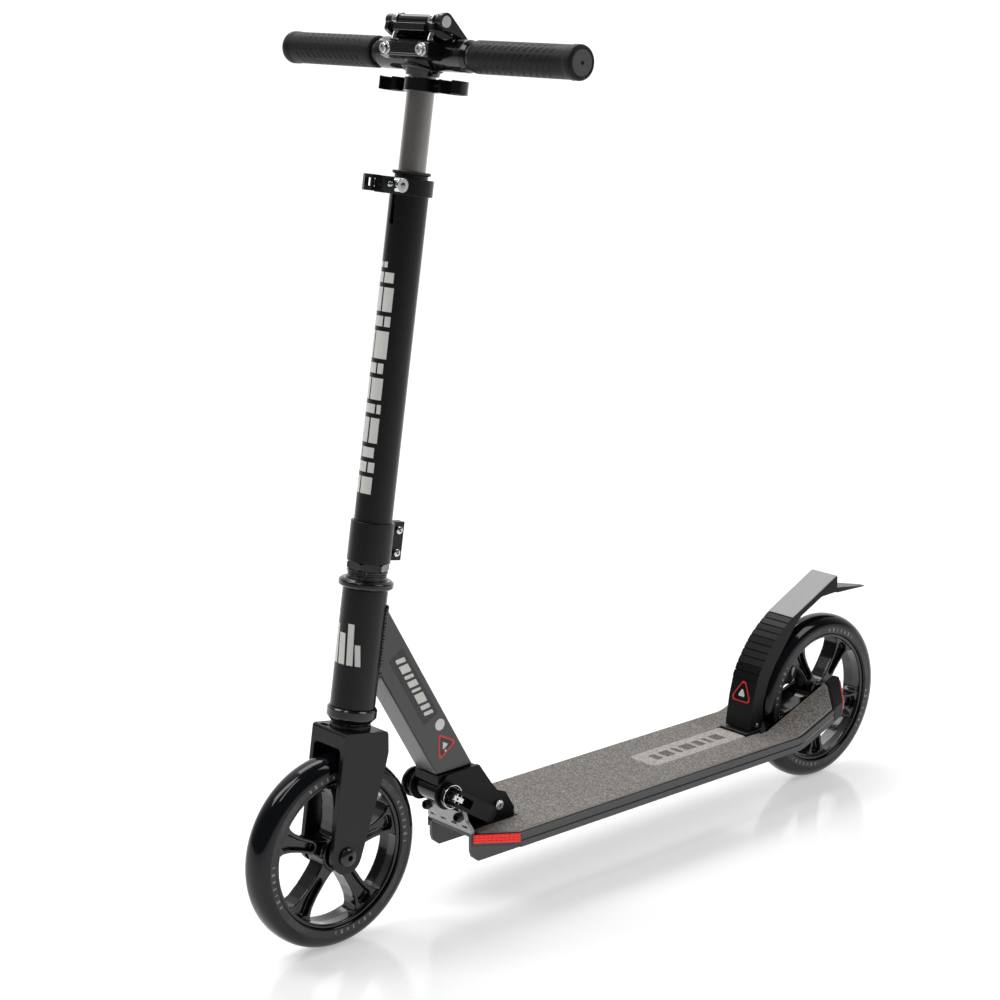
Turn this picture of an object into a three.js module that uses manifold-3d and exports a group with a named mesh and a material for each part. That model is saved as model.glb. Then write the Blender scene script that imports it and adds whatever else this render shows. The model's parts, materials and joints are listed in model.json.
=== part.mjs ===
// A folding kick scooter: two 180 mm wheels, a deck that splits into two raised arms round the
// rear wheel, a folding front frame, a telescopic stem and two pull-out handlebar halves.
// Millimetres, +Z up, front towards -Y, the rider's left hand side is +X. The origin is on the
// ground halfway between the wheels. Pieces of the chassis are drawn in a chassis frame whose
// y = 0 is the front axle, and pieces of the steering in a leaning frame whose z runs up the
// steering axis.
import * as THREE from 'three';
import { mergeVertices } from 'three/addons/utils/BufferGeometryUtils.js';
import Module from 'manifold-3d';

const wasm = await Module();
wasm.setup();

// ---- driving dimensions -------------------------------------------------------------------
const WHEEL_R = 90;
const WHEELBASE = 658;
const TYRE_HALF = 14.5;
const RIM_R = 70;
const RIM_HALF = 12.5;
const SPOKES = 5;
const HEAD_ANGLE = THREE.MathUtils.degToRad(9);
const AXIS_BACK = 6.7;
const GAP = 0.3;
const WHEEL_STEPS = 36;
const ROUND = 24;
const SMALL = 16;

const DECK_TOP = 75;
const DECK_HALF = 57.8;
const DECK_SKIN = 3;
const RAIL_BOTTOM = 61;
const RIB_BOTTOM = 46.5;
const TAPE_THICK = 0.8;
const TAPE_GAP = 0.6;
const ARM_IN = 25;
const ARM_RISE = 0.37;
const ARM_BEND_Y = 552.6;
const ARM_BEND_SKEW = 0.78;
const ARM_BEND_SOFT = 8;

const FOLD_PIVOT = [184, 91];
const SKEWER = [121.5, 116.5];
const BRAKE_PIVOT = [549, 84];

const CROWN_TOP = 112;
const HEAD_LOW = 131;
const HEAD_HIGH = 239;
const STEM_LOW = 262.5;
const STEM_HIGH = 600;
const STEM_R = 17;
const STEM_BORE = 14.8;
const KEYHOLE = 562;
const COLLAR_BOLTS = [270.6, 291];
const INNER_R = 12;
const INNER_LOW = 335;
const BAR_AXIS = [3.6, 707];
const BAR_R = 11;
const GRIP_R = 13.2;
const GRIP_FLANGE_R = 14.4;
const GRIP_IN = 65;
const GRIP_OUT = 192;
const CAM = [-12, 733.5];
const EYE_X = 24;

// ---- materials ----------------------------------------------------------------------------
const finish = (color, roughness, metalness) =>
  new THREE.MeshStandardMaterial({ color, roughness, metalness });
const SATIN_BLACK = [0x26272a, 0.45, 0.3];
const GLOSS_BLACK = [0x0c0d0f, 0.12, 0.1];
const URETHANE = [0x121417, 0.1, 0.0];
const PLASTIC = [0x161718, 0.5, 0.0];
const RUBBER = [0x2b2c2e, 0.8, 0.0];
const CHROME = [0xd8dadd, 0.12, 1.0];
const STEEL = [0x8f9296, 0.3, 1.0];
const ALUMINIUM = [0xa7a8aa, 0.4, 0.9];
const ANODISED = [0x4d4c49, 0.28, 0.9];
const GRIT = [0x8d8780, 0.95, 0.0];
const RED = [0xd5281b, 0.2, 0.0];

// ---- shape helpers ------------------------------------------------------------------------
const YZ_PLANE = new THREE.Matrix4().makeBasis(
  new THREE.Vector3(0, 1, 0), new THREE.Vector3(0, 0, 1), new THREE.Vector3(1, 0, 0));

function outline(points) {
  return new THREE.Shape(points.map(([a, b]) => new THREE.Vector2(a, b)));
}

function circlePoints(cx, cy, r, from, to, steps) {
  return Array.from({ length: steps + 1 }, (_, i) => {
    const angle = THREE.MathUtils.degToRad(from + (to - from) * i / steps);
    return [cx + r * Math.cos(angle), cy + r * Math.sin(angle)];
  });
}

// A flat outline in (y, z), thickened along X.
function slabX(points, x0, x1) {
  const body = new THREE.ExtrudeGeometry(outline(points), { depth: x1 - x0, bevelEnabled: false });
  return solid(body.applyMatrix4(YZ_PLANE).translate(x0, 0, 0));
}

// A flat outline in (x, y), thickened along Z.
function slabZ(points, z0, z1) {
  const body = new THREE.ExtrudeGeometry(outline(points), { depth: z1 - z0, bevelEnabled: false });
  return solid(body.translate(0, 0, z0));
}

function box(x0, x1, y0, y1, z0, z1, steps = [1, 1, 1]) {
  const body = new THREE.BoxGeometry(x1 - x0, y1 - y0, z1 - z0, ...steps);
  return body.translate((x0 + x1) / 2, (y0 + y1) / 2, (z0 + z1) / 2);
}

const block = (...limits) => solid(box(...limits));

// A solid turned about an axis; its profile is a closed list of [radius, height].
function turnedGeometry(profile, segments) {
  const points = [...profile, profile[0]].map(([r, h]) => new THREE.Vector2(r, h));
  return new THREE.LatheGeometry(points, segments).rotateX(Math.PI / 2);
}

const turnedZ = (profile, segments = ROUND) => solid(turnedGeometry(profile, segments));

function turnedX(profile, y, z, segments = ROUND) {
  return solid(turnedGeometry(profile, segments).rotateY(Math.PI / 2).translate(0, y, z));
}

const tubeBore = (radius, low, high) => turnedZ(disc(radius, low, high));
const ring = (inner, outer, low, high) => [[inner, low], [outer, low], [outer, high], [inner, high]];
const disc = (radius, low, high) => [[0, low], [radius, low], [radius, high], [0, high]];
const tubeZ = (inner, outer, low, high, segments) => turnedZ(ring(inner, outer, low, high), segments);
const rodX = (radius, y, z, x0, x1, segments = SMALL) => turnedX(disc(radius, x0, x1), y, z, segments);

// A geometry as a manifold solid, with faces pointing out and without empty triangles.
function solid(source) {
  const bare = source.clone();
  for (const name of ['normal', 'uv']) bare.deleteAttribute(name);
  const merged = mergeVertices(bare, 1e-4);
  const place = merged.getAttribute('position');
  const index = Array.from(merged.getIndex().array);
  const faces = [];
  let volume = 0;
  const corner = [new THREE.Vector3(), new THREE.Vector3(), new THREE.Vector3()];
  for (let i = 0; i < index.length; i += 3) {
    const [a, b, c] = index.slice(i, i + 3);
    if (a === b || b === c || c === a) continue;
    [a, b, c].forEach((vertex, k) => corner[k].fromBufferAttribute(place, vertex));
    volume += corner[0].dot(corner[1].clone().cross(corner[2]));
    faces.push([a, b, c]);
  }
  const outward = volume > 0 ? faces : faces.map(([a, b, c]) => [a, c, b]);
  return new wasm.Manifold(new wasm.Mesh({
    numProp: 3,
    vertProperties: new Float32Array(place.array),
    triVerts: new Uint32Array(outward.flat()),
  }));
}

const join = (first, ...others) => others.reduce((whole, other) => whole.add(other), first);
const cut = (first, ...others) => others.reduce((whole, other) => whole.subtract(other), first);

function part(name, material, body) {
  const mesh = body.getMesh();
  const geometry = new THREE.BufferGeometry();
  geometry.setAttribute('position', new THREE.BufferAttribute(mesh.vertProperties, mesh.numProp));
  geometry.setIndex(new THREE.BufferAttribute(mesh.triVerts, 1));
  geometry.computeVertexNormals();
  const piece = new THREE.Mesh(geometry, finish(...material));
  piece.name = name;
  return piece;
}

const mirrored = (points) => points.map(([x, y]) => [-x, y]);
const SIDES = [['left', 1], ['right', -1]];
const span = (side, a, b) => (side > 0 ? [a, b] : [-b, -a]);

// ---- wheels -------------------------------------------------------------------------------
const HUB_R = 17;
const BEARING_R = 11;
const BEARING_WIDE = 6;
const AXLE_R = 4;

function tyre() {
  const inner = RIM_R + GAP;
  const half = [[inner, 12.6], [75, TYRE_HALF], [81.5, 14.1], [86.5, 10.6], [WHEEL_R, 3.5]];
  return turnedX([...half, ...half.map(([r, x]) => [r, -x]).reverse()], 0, 0, WHEEL_STEPS);
}

// One spoke pointing up: it widens towards the rim and is pocketed on both faces.
function spoke() {
  const beam = slabX([[-6.5, 12], [6.5, 12], [7, 40], [11.5, 68], [-11.5, 68], [-7, 40]], -9, 9);
  const pocket = [[-3, 30], [3, 30], [7, 58], [5, 63], [-5, 63], [-7, 58]];
  return cut(beam, slabX(pocket, 4, 10), slabX(pocket, -10, -4));
}

function rim() {
  const band = turnedX(ring(66.8, RIM_R, -RIM_HALF, RIM_HALF), 0, 0, WHEEL_STEPS);
  const hub = rodX(HUB_R, 0, 0, -RIM_HALF, RIM_HALF, ROUND);
  const spokes = Array.from({ length: SPOKES }, (_, i) => spoke().rotate([360 * i / SPOKES, 0, 0]));
  const seats = [-1, 1].map((side) => {
    const [low, high] = span(side, RIM_HALF - BEARING_WIDE - 1.5, RIM_HALF + 1);
    return rodX(BEARING_R + 0.1, 0, 0, low, high, ROUND);
  });
  return cut(join(band, hub, ...spokes), rodX(7, 0, 0, -20, 20), ...seats);
}

function wheel(prefix, y, phase) {
  const group = new THREE.Group();
  group.position.set(0, y, WHEEL_R);
  group.rotation.x = THREE.MathUtils.degToRad(phase);
  group.add(part(`${prefix}_tyre`, URETHANE, tyre()));
  group.add(part(`${prefix}_rim`, GLOSS_BLACK, rim()));
  for (const [label, side] of SIDES) {
    const [low, high] = span(side, RIM_HALF - BEARING_WIDE - 1, RIM_HALF - 1);
    const race = turnedX(ring(AXLE_R + 0.2, BEARING_R, low, high), 0, 0, SMALL);
    group.add(part(`${prefix}_bearing_${label}`, STEEL, race));
  }
  return group;
}

// An axle bolt with its shoulders against the bearings; `seat` is the outer face of its mount.
function axle(seat, headR) {
  const shoulder = [[AXLE_R, 11.8], [6.5, 11.8], [6.5, seat - 5.3], [AXLE_R, seat - 5.3]];
  const head = [[AXLE_R, seat + GAP], [headR, seat + GAP], [headR, seat + 2], [headR - 2.5, seat + 4.6],
    [3, seat + 5], [3, seat + 2.4], [0, seat + 2.4]];
  const farShoulder = shoulder.map(([r, x]) => [r, -x]).reverse();
  return turnedX([[0, -seat - 5.5], [AXLE_R, -seat - 5.5], ...farShoulder, ...shoulder, ...head], 0, 0,
    SMALL);
}

function axleNut(seat) {
  return cut(rodX(7.4, 0, 0, -seat - 5, -seat - GAP, 6), rodX(AXLE_R + GAP, 0, 0, -40, 0));
}

// ---- deck ---------------------------------------------------------------------------------
// How far the rear arms rise above the flat deck: a fold along a skewed line, softly rounded.
function armRise(x, y) {
  const past = y - ARM_BEND_Y - (Math.abs(x) - 28) * ARM_BEND_SKEW;
  if (past < -ARM_BEND_SOFT) return 0;
  if (past > ARM_BEND_SOFT) return ARM_RISE * past;
  return ARM_RISE * (past + ARM_BEND_SOFT) ** 2 / (4 * ARM_BEND_SOFT);
}

function bent(geometry) {
  const place = geometry.getAttribute('position');
  for (let i = 0; i < place.count; i += 1) {
    place.setZ(i, place.getZ(i) + armRise(place.getX(i), place.getY(i)));
  }
  return solid(geometry);
}

// A lengthwise strip of one rear arm, between two distances from the middle of the deck.
function armBox(side, inside, outside, low, high) {
  const steps = [Math.ceil((outside - inside) / 9), ARM_STEPS, 1];
  return bent(box(...span(side, inside, outside), ARM_START, ARM_STOP, low, high, steps));
}

const DECK_FRONT_HALF = 30;
const DECK_FRONT = 141;
const CHAMFER_END = 179;
const FLAT_END = 544;
const ARM_START = 542;
const ARM_STOP = 650;
const ARM_STEPS = 14;
const SLOT_START = 556;
const ARM_END = [[ARM_IN, 648], [31.2, 648], [DECK_HALF, 626]];
const CAP_END = [[DECK_HALF, 640], [31.5, 664], [ARM_IN, 661]];

function deckOutline(inset, slotSide) {
  const side = DECK_HALF - inset;
  const front = DECK_FRONT + inset;
  const slope = (CHAMFER_END - DECK_FRONT) / (DECK_HALF - DECK_FRONT_HALF);
  const half = [[DECK_FRONT_HALF, front], [side, front + (side - DECK_FRONT_HALF) * slope],
    [side, FLAT_END], [slotSide, FLAT_END], [slotSide, SLOT_START - inset]];
  return [...half, ...mirrored(half).reverse()];
}

function armEndCutter(sideSign, inset) {
  const beyond = [[ARM_IN - 5, 700], [ARM_IN - 5, 648 - inset], [31.2 - inset * 0.3, 648 - inset],
    [DECK_HALF + 5, 622 - inset * 1.3], [DECK_HALF + 5, 700]];
  return slabZ(sideSign > 0 ? beyond : mirrored(beyond), 40, 160);
}

function deckPlate() {
  const skin = slabZ(deckOutline(0, ARM_IN), DECK_TOP - DECK_SKIN, DECK_TOP);
  const ribShape = [[DECK_FRONT, DECK_TOP - 1], [143, 54], [150, RIB_BOTTOM], [520, RIB_BOTTOM],
    [553, 60], [553, DECK_TOP - 1]];
  const pieces = [];
  for (const [, side] of SIDES) {
    pieces.push(slabX(ribShape, ...span(side, 26.6, DECK_FRONT_HALF)));
    pieces.push(block(...span(side, 54.4, DECK_HALF), CHAMFER_END, FLAT_END, RAIL_BOTTOM, DECK_TOP - 1));
    const wall = [[DECK_FRONT_HALF, DECK_FRONT], [DECK_HALF, CHAMFER_END], [DECK_HALF - 3, CHAMFER_END],
      [DECK_FRONT_HALF - 1, DECK_FRONT + 3]];
    pieces.push(slabZ(side > 0 ? wall : mirrored(wall), RAIL_BOTTOM + 2, DECK_TOP - 1));
    const arm = join(
      armBox(side, ARM_IN, DECK_HALF, DECK_TOP - DECK_SKIN, DECK_TOP),
      armBox(side, 54.4, DECK_HALF, RAIL_BOTTOM, DECK_TOP - 1),
      armBox(side, ARM_IN, 27.8, RAIL_BOTTOM + 3, DECK_TOP - 1));
    pieces.push(cut(arm, armEndCutter(side, 0)));
  }
  return join(skin, ...pieces);
}

function gripTape() {
  const low = DECK_TOP + TAPE_GAP;
  const high = low + TAPE_THICK;
  const pieces = SIDES.map(([, side]) => {
    const strip = armBox(side, ARM_IN + 2, DECK_HALF - 3, low, high);
    return cut(strip, armEndCutter(side, 3));
  });
  const sheet = join(slabZ(deckOutline(3, ARM_IN - GAP), low, high), ...pieces);
  return cut(sheet, block(-21.5, 21.5, 100, 207, 70, 80), block(-33, 33, 100, 145, 70, 80),
    block(-20, 20, 530, 570, 70, 80));
}

function armCap(side) {
  const inner = ARM_END.map(([x, y]) => [x, y + GAP]);
  const loop = [...inner, ...CAP_END];
  const prism = new THREE.ExtrudeGeometry(outline(side > 0 ? loop : mirrored(loop)),
    { depth: DECK_TOP + 1 - RAIL_BOTTOM, bevelEnabled: false });
  return bent(prism.translate(0, 0, RAIL_BOTTOM));
}

// A strip standing on edge between two plan points, with its face to the outside.
function edgeStrip(side, [x0, y0], [x1, y1], low, high, thick) {
  const length = Math.hypot(x1 - x0, y1 - y0);
  const nx = (y1 - y0) / length;
  const ny = -(x1 - x0) / length;
  const loop = [[x0, y0], [x1, y1], [x1 + nx * thick, y1 + ny * thick], [x0 + nx * thick, y0 + ny * thick]];
  return new THREE.ExtrudeGeometry(outline(side > 0 ? loop : mirrored(loop)),
    { depth: high - low, bevelEnabled: false }).translate(0, 0, low);
}

function frontReflector(side) {
  return solid(edgeStrip(side, [31, 141.6], [57.6, 178], 66.5, 75, 1.4));
}

function rearReflector(side) {
  return bent(edgeStrip(side, [33.4, 662.8], [55.4, 642.7], 64, 73.5, -1.4));
}

function rearDropout(side) {
  const nose = circlePoints(WHEELBASE, WHEEL_R, 13.5, -60, 90, 6);
  const plate = slabX([[500, 50], [560, 62], [600, 66], ...nose, [620, 92], [578, 80], [556.6, 71.5],
    [500, 71.5]], ...span(side, 18, 22));
  return cut(plate, rodX(AXLE_R + GAP, WHEELBASE, WHEEL_R, -40, 40));
}

// ---- front of the deck: plate, folding bracket, skewer and its lever ----------------------
const PLATE_BOLT = [22.5, 133.6, 91.5];
const PLATE_LEAN = Math.atan2(7, 22);

function frontPlate() {
  const edge = [[140.6, 75.5], [140.6, 77], [132.8, 101.4], [136.8, 102.2], [144.2, 78], [144.2, 75.5]];
  const face = slabX(edge, -31, 31);
  const corners = SIDES.map(([, side]) => {
    const loop = [[34, 74], [34, 110], [26.5, 110], [26.5, 88], [31, 80.5]];
    const wedge = new THREE.ExtrudeGeometry(outline(side > 0 ? loop : mirrored(loop)),
      { depth: 80, bevelEnabled: false });
    return solid(wedge.rotateX(Math.PI / 2).translate(0, 180, 0));
  });
  const notch = block(-20.6, 20.6, 120, 160, 90, 110);
  const slots = [-23, -7.5, 7.5, 23].map((x) => block(x - 4, x + 4, 120, 160, 80, 82.4));
  return cut(face, notch, ...corners, ...slots, ...SIDES.map(([, side]) => plateBolt(side, 2.4)));
}

// The straight line of a socket bolt through the leaning front plate.
function plateBolt(side, radius) {
  const rod = turnedGeometry(disc(radius, -15, 15), 12).rotateX(Math.PI / 2 - PLATE_LEAN);
  return solid(rod.translate(side * PLATE_BOLT[0], PLATE_BOLT[1], PLATE_BOLT[2]));
}

function foldBracket() {
  const nose = circlePoints(...SKEWER, 14, 140, 262, 8);
  const rear = [[168, 79], [203, 79], [204.5, 83], [193, 102], [181, 107], [160, 137], [121, 135.5]];
  const cheek = [...nose, [132, 101.8], ...rear];
  const cheeks = SIDES.map(([, side]) => slabX(cheek, ...span(side, 17, 20)));
  const base = block(-20, 20, 168, 204, DECK_TOP + 0.35, 79.2);
  return cut(join(base, ...cheeks), rodX(4.3, ...FOLD_PIVOT, -30, 30), rodX(4.3, ...SKEWER, -30, 30));
}

// The block on the foot of the down tube. Its skewer notch is open along the swing, so the frame
// lifts off the loosened skewer as it folds.
function foldLug() {
  const toe = circlePoints(...FOLD_PIVOT, 10.5, -100, 50, 8);
  const body = slabX([[112.8, 135.7], [112, 106], [119, 101], [150, 92], [170, 82], ...toe,
    [160, 135.7]], -16.6, 16.6);
  const notchLine = [[SKEWER[0] - 4.6, SKEWER[1] + 1.6], [SKEWER[0] + 4.3, SKEWER[1] - 1.6],
    [SKEWER[0] - 4, SKEWER[1] - 30], [SKEWER[0] - 16, SKEWER[1] - 28]];
  const clear = block(-30, 30, 100, 143.5, 60, 100);
  return cut(body, slabX(notchLine, -30, 30), rodX(4.5, ...SKEWER, -30, 30),
    rodX(4.3, ...FOLD_PIVOT, -30, 30), clear);
}

function foldPivotBolt() {
  return turnedX([[0, -24], [6.5, -24], [6.5, -20.3], [AXLE_R, -20.3], [AXLE_R, 20.3], [5, 20.3],
    [5, 22.4], [0, 22.4]], ...FOLD_PIVOT, SMALL);
}

// The skewer with the cup that the lever's cam presses on, and the barred end that carries the
// lever's pin.
function foldSkewer() {
  const [rimLow, rimHigh] = [20.4, CUP_RIM_X];
  const rod = turnedX([[0, -40], [6, -40], [6, -31.4], [3.8, -31.4], [3.8, rimLow], [9.5, rimLow],
    [CUP_R, rimLow + 2], [CUP_R, rimHigh], [CUP_R - 1.3, rimHigh], [CUP_R - 1.3, CUP_FLOOR_X],
    [3.8, CUP_FLOOR_X], [3.8, LEVER_PIN_X], [0, LEVER_PIN_X]], ...SKEWER, ROUND);
  const bar = leverSlab([[-5, 28], [9, 28], [10, 29.5], [10, 32], [8.5, 33], [-4, 33], [-5, 32]], 2.6);
  return join(rod, bar, leverPin(1.9));
}

function skewerBush() {
  return turnedX([[4.2, -31], [14.5, -31], [14.5, -27.5], [10, -27.5], [10, -20.4], [4.2, -20.4]],
    ...SKEWER, ROUND);
}

// The fold lever's own frame: u runs from the skewer to the lever's tip, x outwards from the deck,
// and v across the lever, along its pin.
const LEVER_TIP = [162, 91];
const LEVER_REACH = Math.hypot(LEVER_TIP[0] - SKEWER[0], LEVER_TIP[1] - SKEWER[1]);
const LEVER_HALF = 8;
const LEVER_PIN_X = 30.3;
const LOBE_R = 4.6;
const CUP_R = 11.5;
const CUP_FLOOR_X = 25.3;
const CUP_RIM_X = 27;
const ALONG = new THREE.Vector3(0, LEVER_TIP[0] - SKEWER[0], LEVER_TIP[1] - SKEWER[1]).normalize();
const OUTWARD = new THREE.Vector3(1, 0, 0);
const LEVER_FRAME = new THREE.Matrix4()
  .makeBasis(ALONG, OUTWARD, new THREE.Vector3().crossVectors(ALONG, OUTWARD))
  .setPosition(0, ...SKEWER);

// An outline in (u, x), thickened by `half` to both sides along v.
function leverSlab(points, half) {
  const body = new THREE.ExtrudeGeometry(outline(points), { depth: 2 * half, bevelEnabled: false });
  return solid(body.translate(0, 0, -half).applyMatrix4(LEVER_FRAME));
}

const leverPin = (radius) => leverSlab(circlePoints(0, LEVER_PIN_X, radius, 0, 330, 11), LEVER_HALF - 0.5);

function foldLever() {
  const [low, high] = [CUP_RIM_X + GAP, LEVER_PIN_X + LOBE_R];
  const side = leverSlab([...circlePoints(0, LEVER_PIN_X, LOBE_R, 90, 270, 8), [4, low],
    [LEVER_REACH + LEVER_HALF - 2, low], [LEVER_REACH + LEVER_HALF, low + 2.5],
    [LEVER_REACH + LEVER_HALF, high - 2], [LEVER_REACH, high]], LEVER_HALF);
  const along = THREE.MathUtils.radToDeg(Math.atan2(LEVER_TIP[1] - SKEWER[1], LEVER_TIP[0] - SKEWER[0]));
  const tip = circlePoints(...LEVER_TIP, LEVER_HALF, along - 90, along + 90, 10);
  const head = circlePoints(...SKEWER, CUP_R - 1.6, along + 126, along + 234, 6);
  const slot = leverSlab([[-10, 20], [20, 20], [20, 40], [-10, 40]], 4.4);
  return cut(side.intersect(slabX([...tip, ...head], 20, 40)), slot, leverPin(2.1));
}

// ---- rear brake ---------------------------------------------------------------------------
const BRAKE_HALF = 17;
const TAIL_END = 736;
const BRAKE_OUTER = [[539, 79.5], [541, 100], [546, 121], [552, 138], [564, 156.5], [574, 169],
  [588, 180.5], [602, 190], [672, 223.5]];
const BRAKE_INNER = [[673.5, 206], [648.5, 205], [631, 197], [616, 190], [606, 180.5], [585, 155],
  [577, 145], [567, 128], [560, 108], [558, 79.5]];
const BRAKE_POCKET = [[543.5, 92], [544.5, 100], [549.5, 120], [555.5, 136.5], [567, 154.5],
  [576.5, 166.5], [590, 177.3], [603, 186], [640, 203.5], [631, 190], [600, 160], [590, 120], [575, 70],
  [543.5, 70]];

function brakeFender() {
  const shell = slabX([...BRAKE_OUTER, ...BRAKE_INNER], -BRAKE_HALF, BRAKE_HALF);
  const pocket = slabX(BRAKE_POCKET, -BRAKE_HALF + 2.8, BRAKE_HALF - 2.8);
  const blade = slabX([[668, 213], [674, 210.5], [TAIL_END, 198.4], [TAIL_END, 197.4], [674, 204.8],
    [668, 206.5]], -BRAKE_HALF, BRAKE_HALF);
  const plan = [[BRAKE_HALF, 660], [BRAKE_HALF, 674], [3, TAIL_END + 1]];
  const tail = blade.intersect(slabZ([...plan, ...mirrored(plan).reverse()], 180, 230));
  return cut(join(shell, tail), pocket, rodX(2.8, ...BRAKE_PIVOT, -30, 30));
}

function brakeBracket() {
  const foot = block(-18.5, 18.5, 533, 556, DECK_TOP + 0.4, 78.6);
  const lug = slabX([[544.6, 77], [553.4, 77], ...circlePoints(...BRAKE_PIVOT, 4.4, 0, 180, 6)], -8, 8);
  return cut(join(foot, lug), rodX(2.8, ...BRAKE_PIVOT, -30, 30));
}

const brakePin = () => rodX(2.5, ...BRAKE_PIVOT, -19, 19);
const brakeSpring = () => turnedX(ring(3, 5, 8.6, 13.6), ...BRAKE_PIVOT, 16);

// ---- front frame --------------------------------------------------------------------------
const TUBE_HALF = 15.5;
const TUBE_WALL = 2.2;

function headTube() {
  return tubeZ(17.6, 20.3, HEAD_LOW, HEAD_HIGH);
}

// A ring cup pressed on one end of the head tube; `way` is +1 at the top and -1 at the bottom.
function headCup(edge, way, radius, depth) {
  const at = (offset) => edge + way * offset;
  return turnedZ([[14.9, at(GAP)], [radius - 1.5, at(GAP)], [radius, at(3)], [radius, at(depth - 1.5)],
    [radius - 1.5, at(depth)], [16.5, at(depth)], [16.5, at(4)], [14.9, at(4)]]);
}

function downTube(steer) {
  const axis = [[34, 296], [40.5, 259.6], [112.8, 136], [157, 136], [51.8, 316], [34, 330]];
  const outside = slabX(axis, -TUBE_HALF, TUBE_HALF);
  const inside = slabX([[30, 282], [118.9, 130], [157.9, 130], [56.8, 303], [30, 340]],
    -TUBE_HALF + TUBE_WALL, TUBE_HALF - TUBE_WALL);
  const headBore = turnedGeometry(disc(20.6, 100, 320), ROUND).applyMatrix4(steer);
  const foremost = block(-40, 40, -60, 30, 200, 380);
  return cut(outside, inside, solid(headBore), foremost);
}

// ---- steering -----------------------------------------------------------------------------
const FORK_AXLE = [-6.62, -1.05];

function fork() {
  const toe = circlePoints(...FORK_AXLE, 16.6, 180, 345, 12);
  const leg = [[-23.7, CROWN_TOP], [-23.7, 60], ...toe, [26.5, 80], [28, 93], [25, CROWN_TOP]];
  const legs = SIDES.map(([, side]) => slabX(leg, ...span(side, 19, 24)));
  const crown = block(-22, 22, -23.7, 25, 97, CROWN_TOP);
  const race = tubeZ(14.8, 18.5, CROWN_TOP - 2, CROWN_TOP + 4);
  return cut(join(crown, race, ...legs), solid(turnedGeometry(disc(14.75, 80, 130), ROUND)),
    rodX(AXLE_R + GAP, ...FORK_AXLE, -40, 40));
}

const steerer = () => tubeZ(12, 14.45, 98, 292);
const lockNut = () => cut(turnedZ(disc(19, 255.4, STEM_LOW - 0.4), 6), tubeBore(14.8, 250, 270));
const headWasher = () => tubeZ(14.8, 17.8, 251.3, 255, ROUND);

function outerStem() {
  const shell = turnedZ(ring(STEM_BORE, STEM_R, STEM_LOW, STEM_HIGH), ROUND);
  const slot = block(-2.2, 2.2, -30, 0, KEYHOLE, 620);
  const keyhole = turnedGeometry(disc(3, 0, 30), 16).rotateX(Math.PI / 2).translate(0, 0, KEYHOLE);
  const lowSlot = block(-1.2, 1.2, 0, 30, 240, 300);
  return cut(shell, slot, solid(keyhole), lowSlot);
}

function stemCollar() {
  const band = tubeZ(STEM_R + GAP, 19.5, STEM_LOW + 0.2, 298.8);
  const ears = SIDES.map(([, side]) => block(...span(side, 1.2, 4.2), 15, 33.2, 263.5, 298.5));
  const bore = solid(turnedGeometry(disc(STEM_R + GAP, 200, 320), ROUND));
  const slit = block(-1.2, 1.2, 0, 50, 250, 310);
  const holes = COLLAR_BOLTS.map((s) => rodX(2.3, 27, s, -20, 20, 12));
  return cut(join(band, ...ears), bore, slit, ...holes);
}

const collarBolt = (s) => turnedX([[0, -6.5], [3.4, -6.5], [3.4, -4.5], [2, -4.5], [2, 4.5],
  [3.6, 4.5], [3.6, 7.4], [0, 7.4]], 27, s, 16);

const stemBush = () => turnedZ([[12.3, 576], [14.5, 576], [14.5, 602.6], [16.6, 603.8], [16.6, 606.2],
  [12.3, 606.2]]);

// ---- height clamp -------------------------------------------------------------------------
const CLAMP_LOW = 585.5;
const CLAMP_HIGH = 600;
const CLAMP_MID = 593.5;
const CLAMP_BOLT_Y = -25;
const CLAMP_CAM_X = -17.5;
const LEVER_FRONT = -42;
const LEVER_BACK = -39.4;

function heightClamp() {
  const band = tubeZ(STEM_R + GAP, 20.2, CLAMP_LOW, CLAMP_HIGH);
  const near = block(6.2, 10.4, -37, -14, CLAMP_LOW, CLAMP_HIGH);
  const far = block(-10.4, -6.2, -31, -14, CLAMP_LOW, CLAMP_HIGH);
  const bore = solid(turnedGeometry(disc(STEM_R + GAP, 500, 700), ROUND));
  const slit = block(-6.2, 6.2, -50, -5, 500, 700);
  return cut(join(band, near, far), bore, slit, rodX(3.3, CLAMP_BOLT_Y, CLAMP_MID, -30, 30));
}

function heightSkewer() {
  const rod = turnedX([[0, -14], [3, -14], [3, 10.8], [6.3, 10.8], [6.3, 19.4], [5.4, 20.2], [2.6, 20.2],
    [2.6, 15], [0, 15]], CLAMP_BOLT_Y, CLAMP_MID, SMALL);
  const eye = turnedGeometry(disc(4.6, CLAMP_MID - 3, CLAMP_MID + 3), 16)
    .translate(CLAMP_CAM_X, CLAMP_BOLT_Y, 0);
  return join(rod, solid(eye));
}

function heightLever() {
  const path = [[CLAMP_CAM_X - 5.6, CLAMP_BOLT_Y + 2], [CLAMP_CAM_X - 5.6, -31], [-17, -39.5],
    [-11, LEVER_FRONT], [-1, LEVER_FRONT], [-1, LEVER_BACK], [-10, LEVER_BACK], [-14.5, -37],
    [CLAMP_CAM_X - 2, -31.5], [-13, -29.5], [-12.2, CLAMP_BOLT_Y]];
  const nose = circlePoints(CLAMP_CAM_X, CLAMP_BOLT_Y, 5.6, 0, 150, 8);
  const body = slabZ([...path, ...nose], CLAMP_LOW + 0.6, CLAMP_HIGH + 0.2);
  const eyeSlot = block(CLAMP_CAM_X - 9, -5, -32, -15, CLAMP_MID - 3.6, CLAMP_MID + 3.6);
  const window = block(-11, 3, -60, LEVER_BACK + 0.6, CLAMP_MID - 3.4, CLAMP_MID + 3.4);
  const lip = block(-3.2, -1, LEVER_FRONT, LEVER_BACK, CLAMP_LOW + 0.6, CLAMP_HIGH + 0.2);
  return join(cut(body, eyeSlot, window), lip);
}

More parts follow.
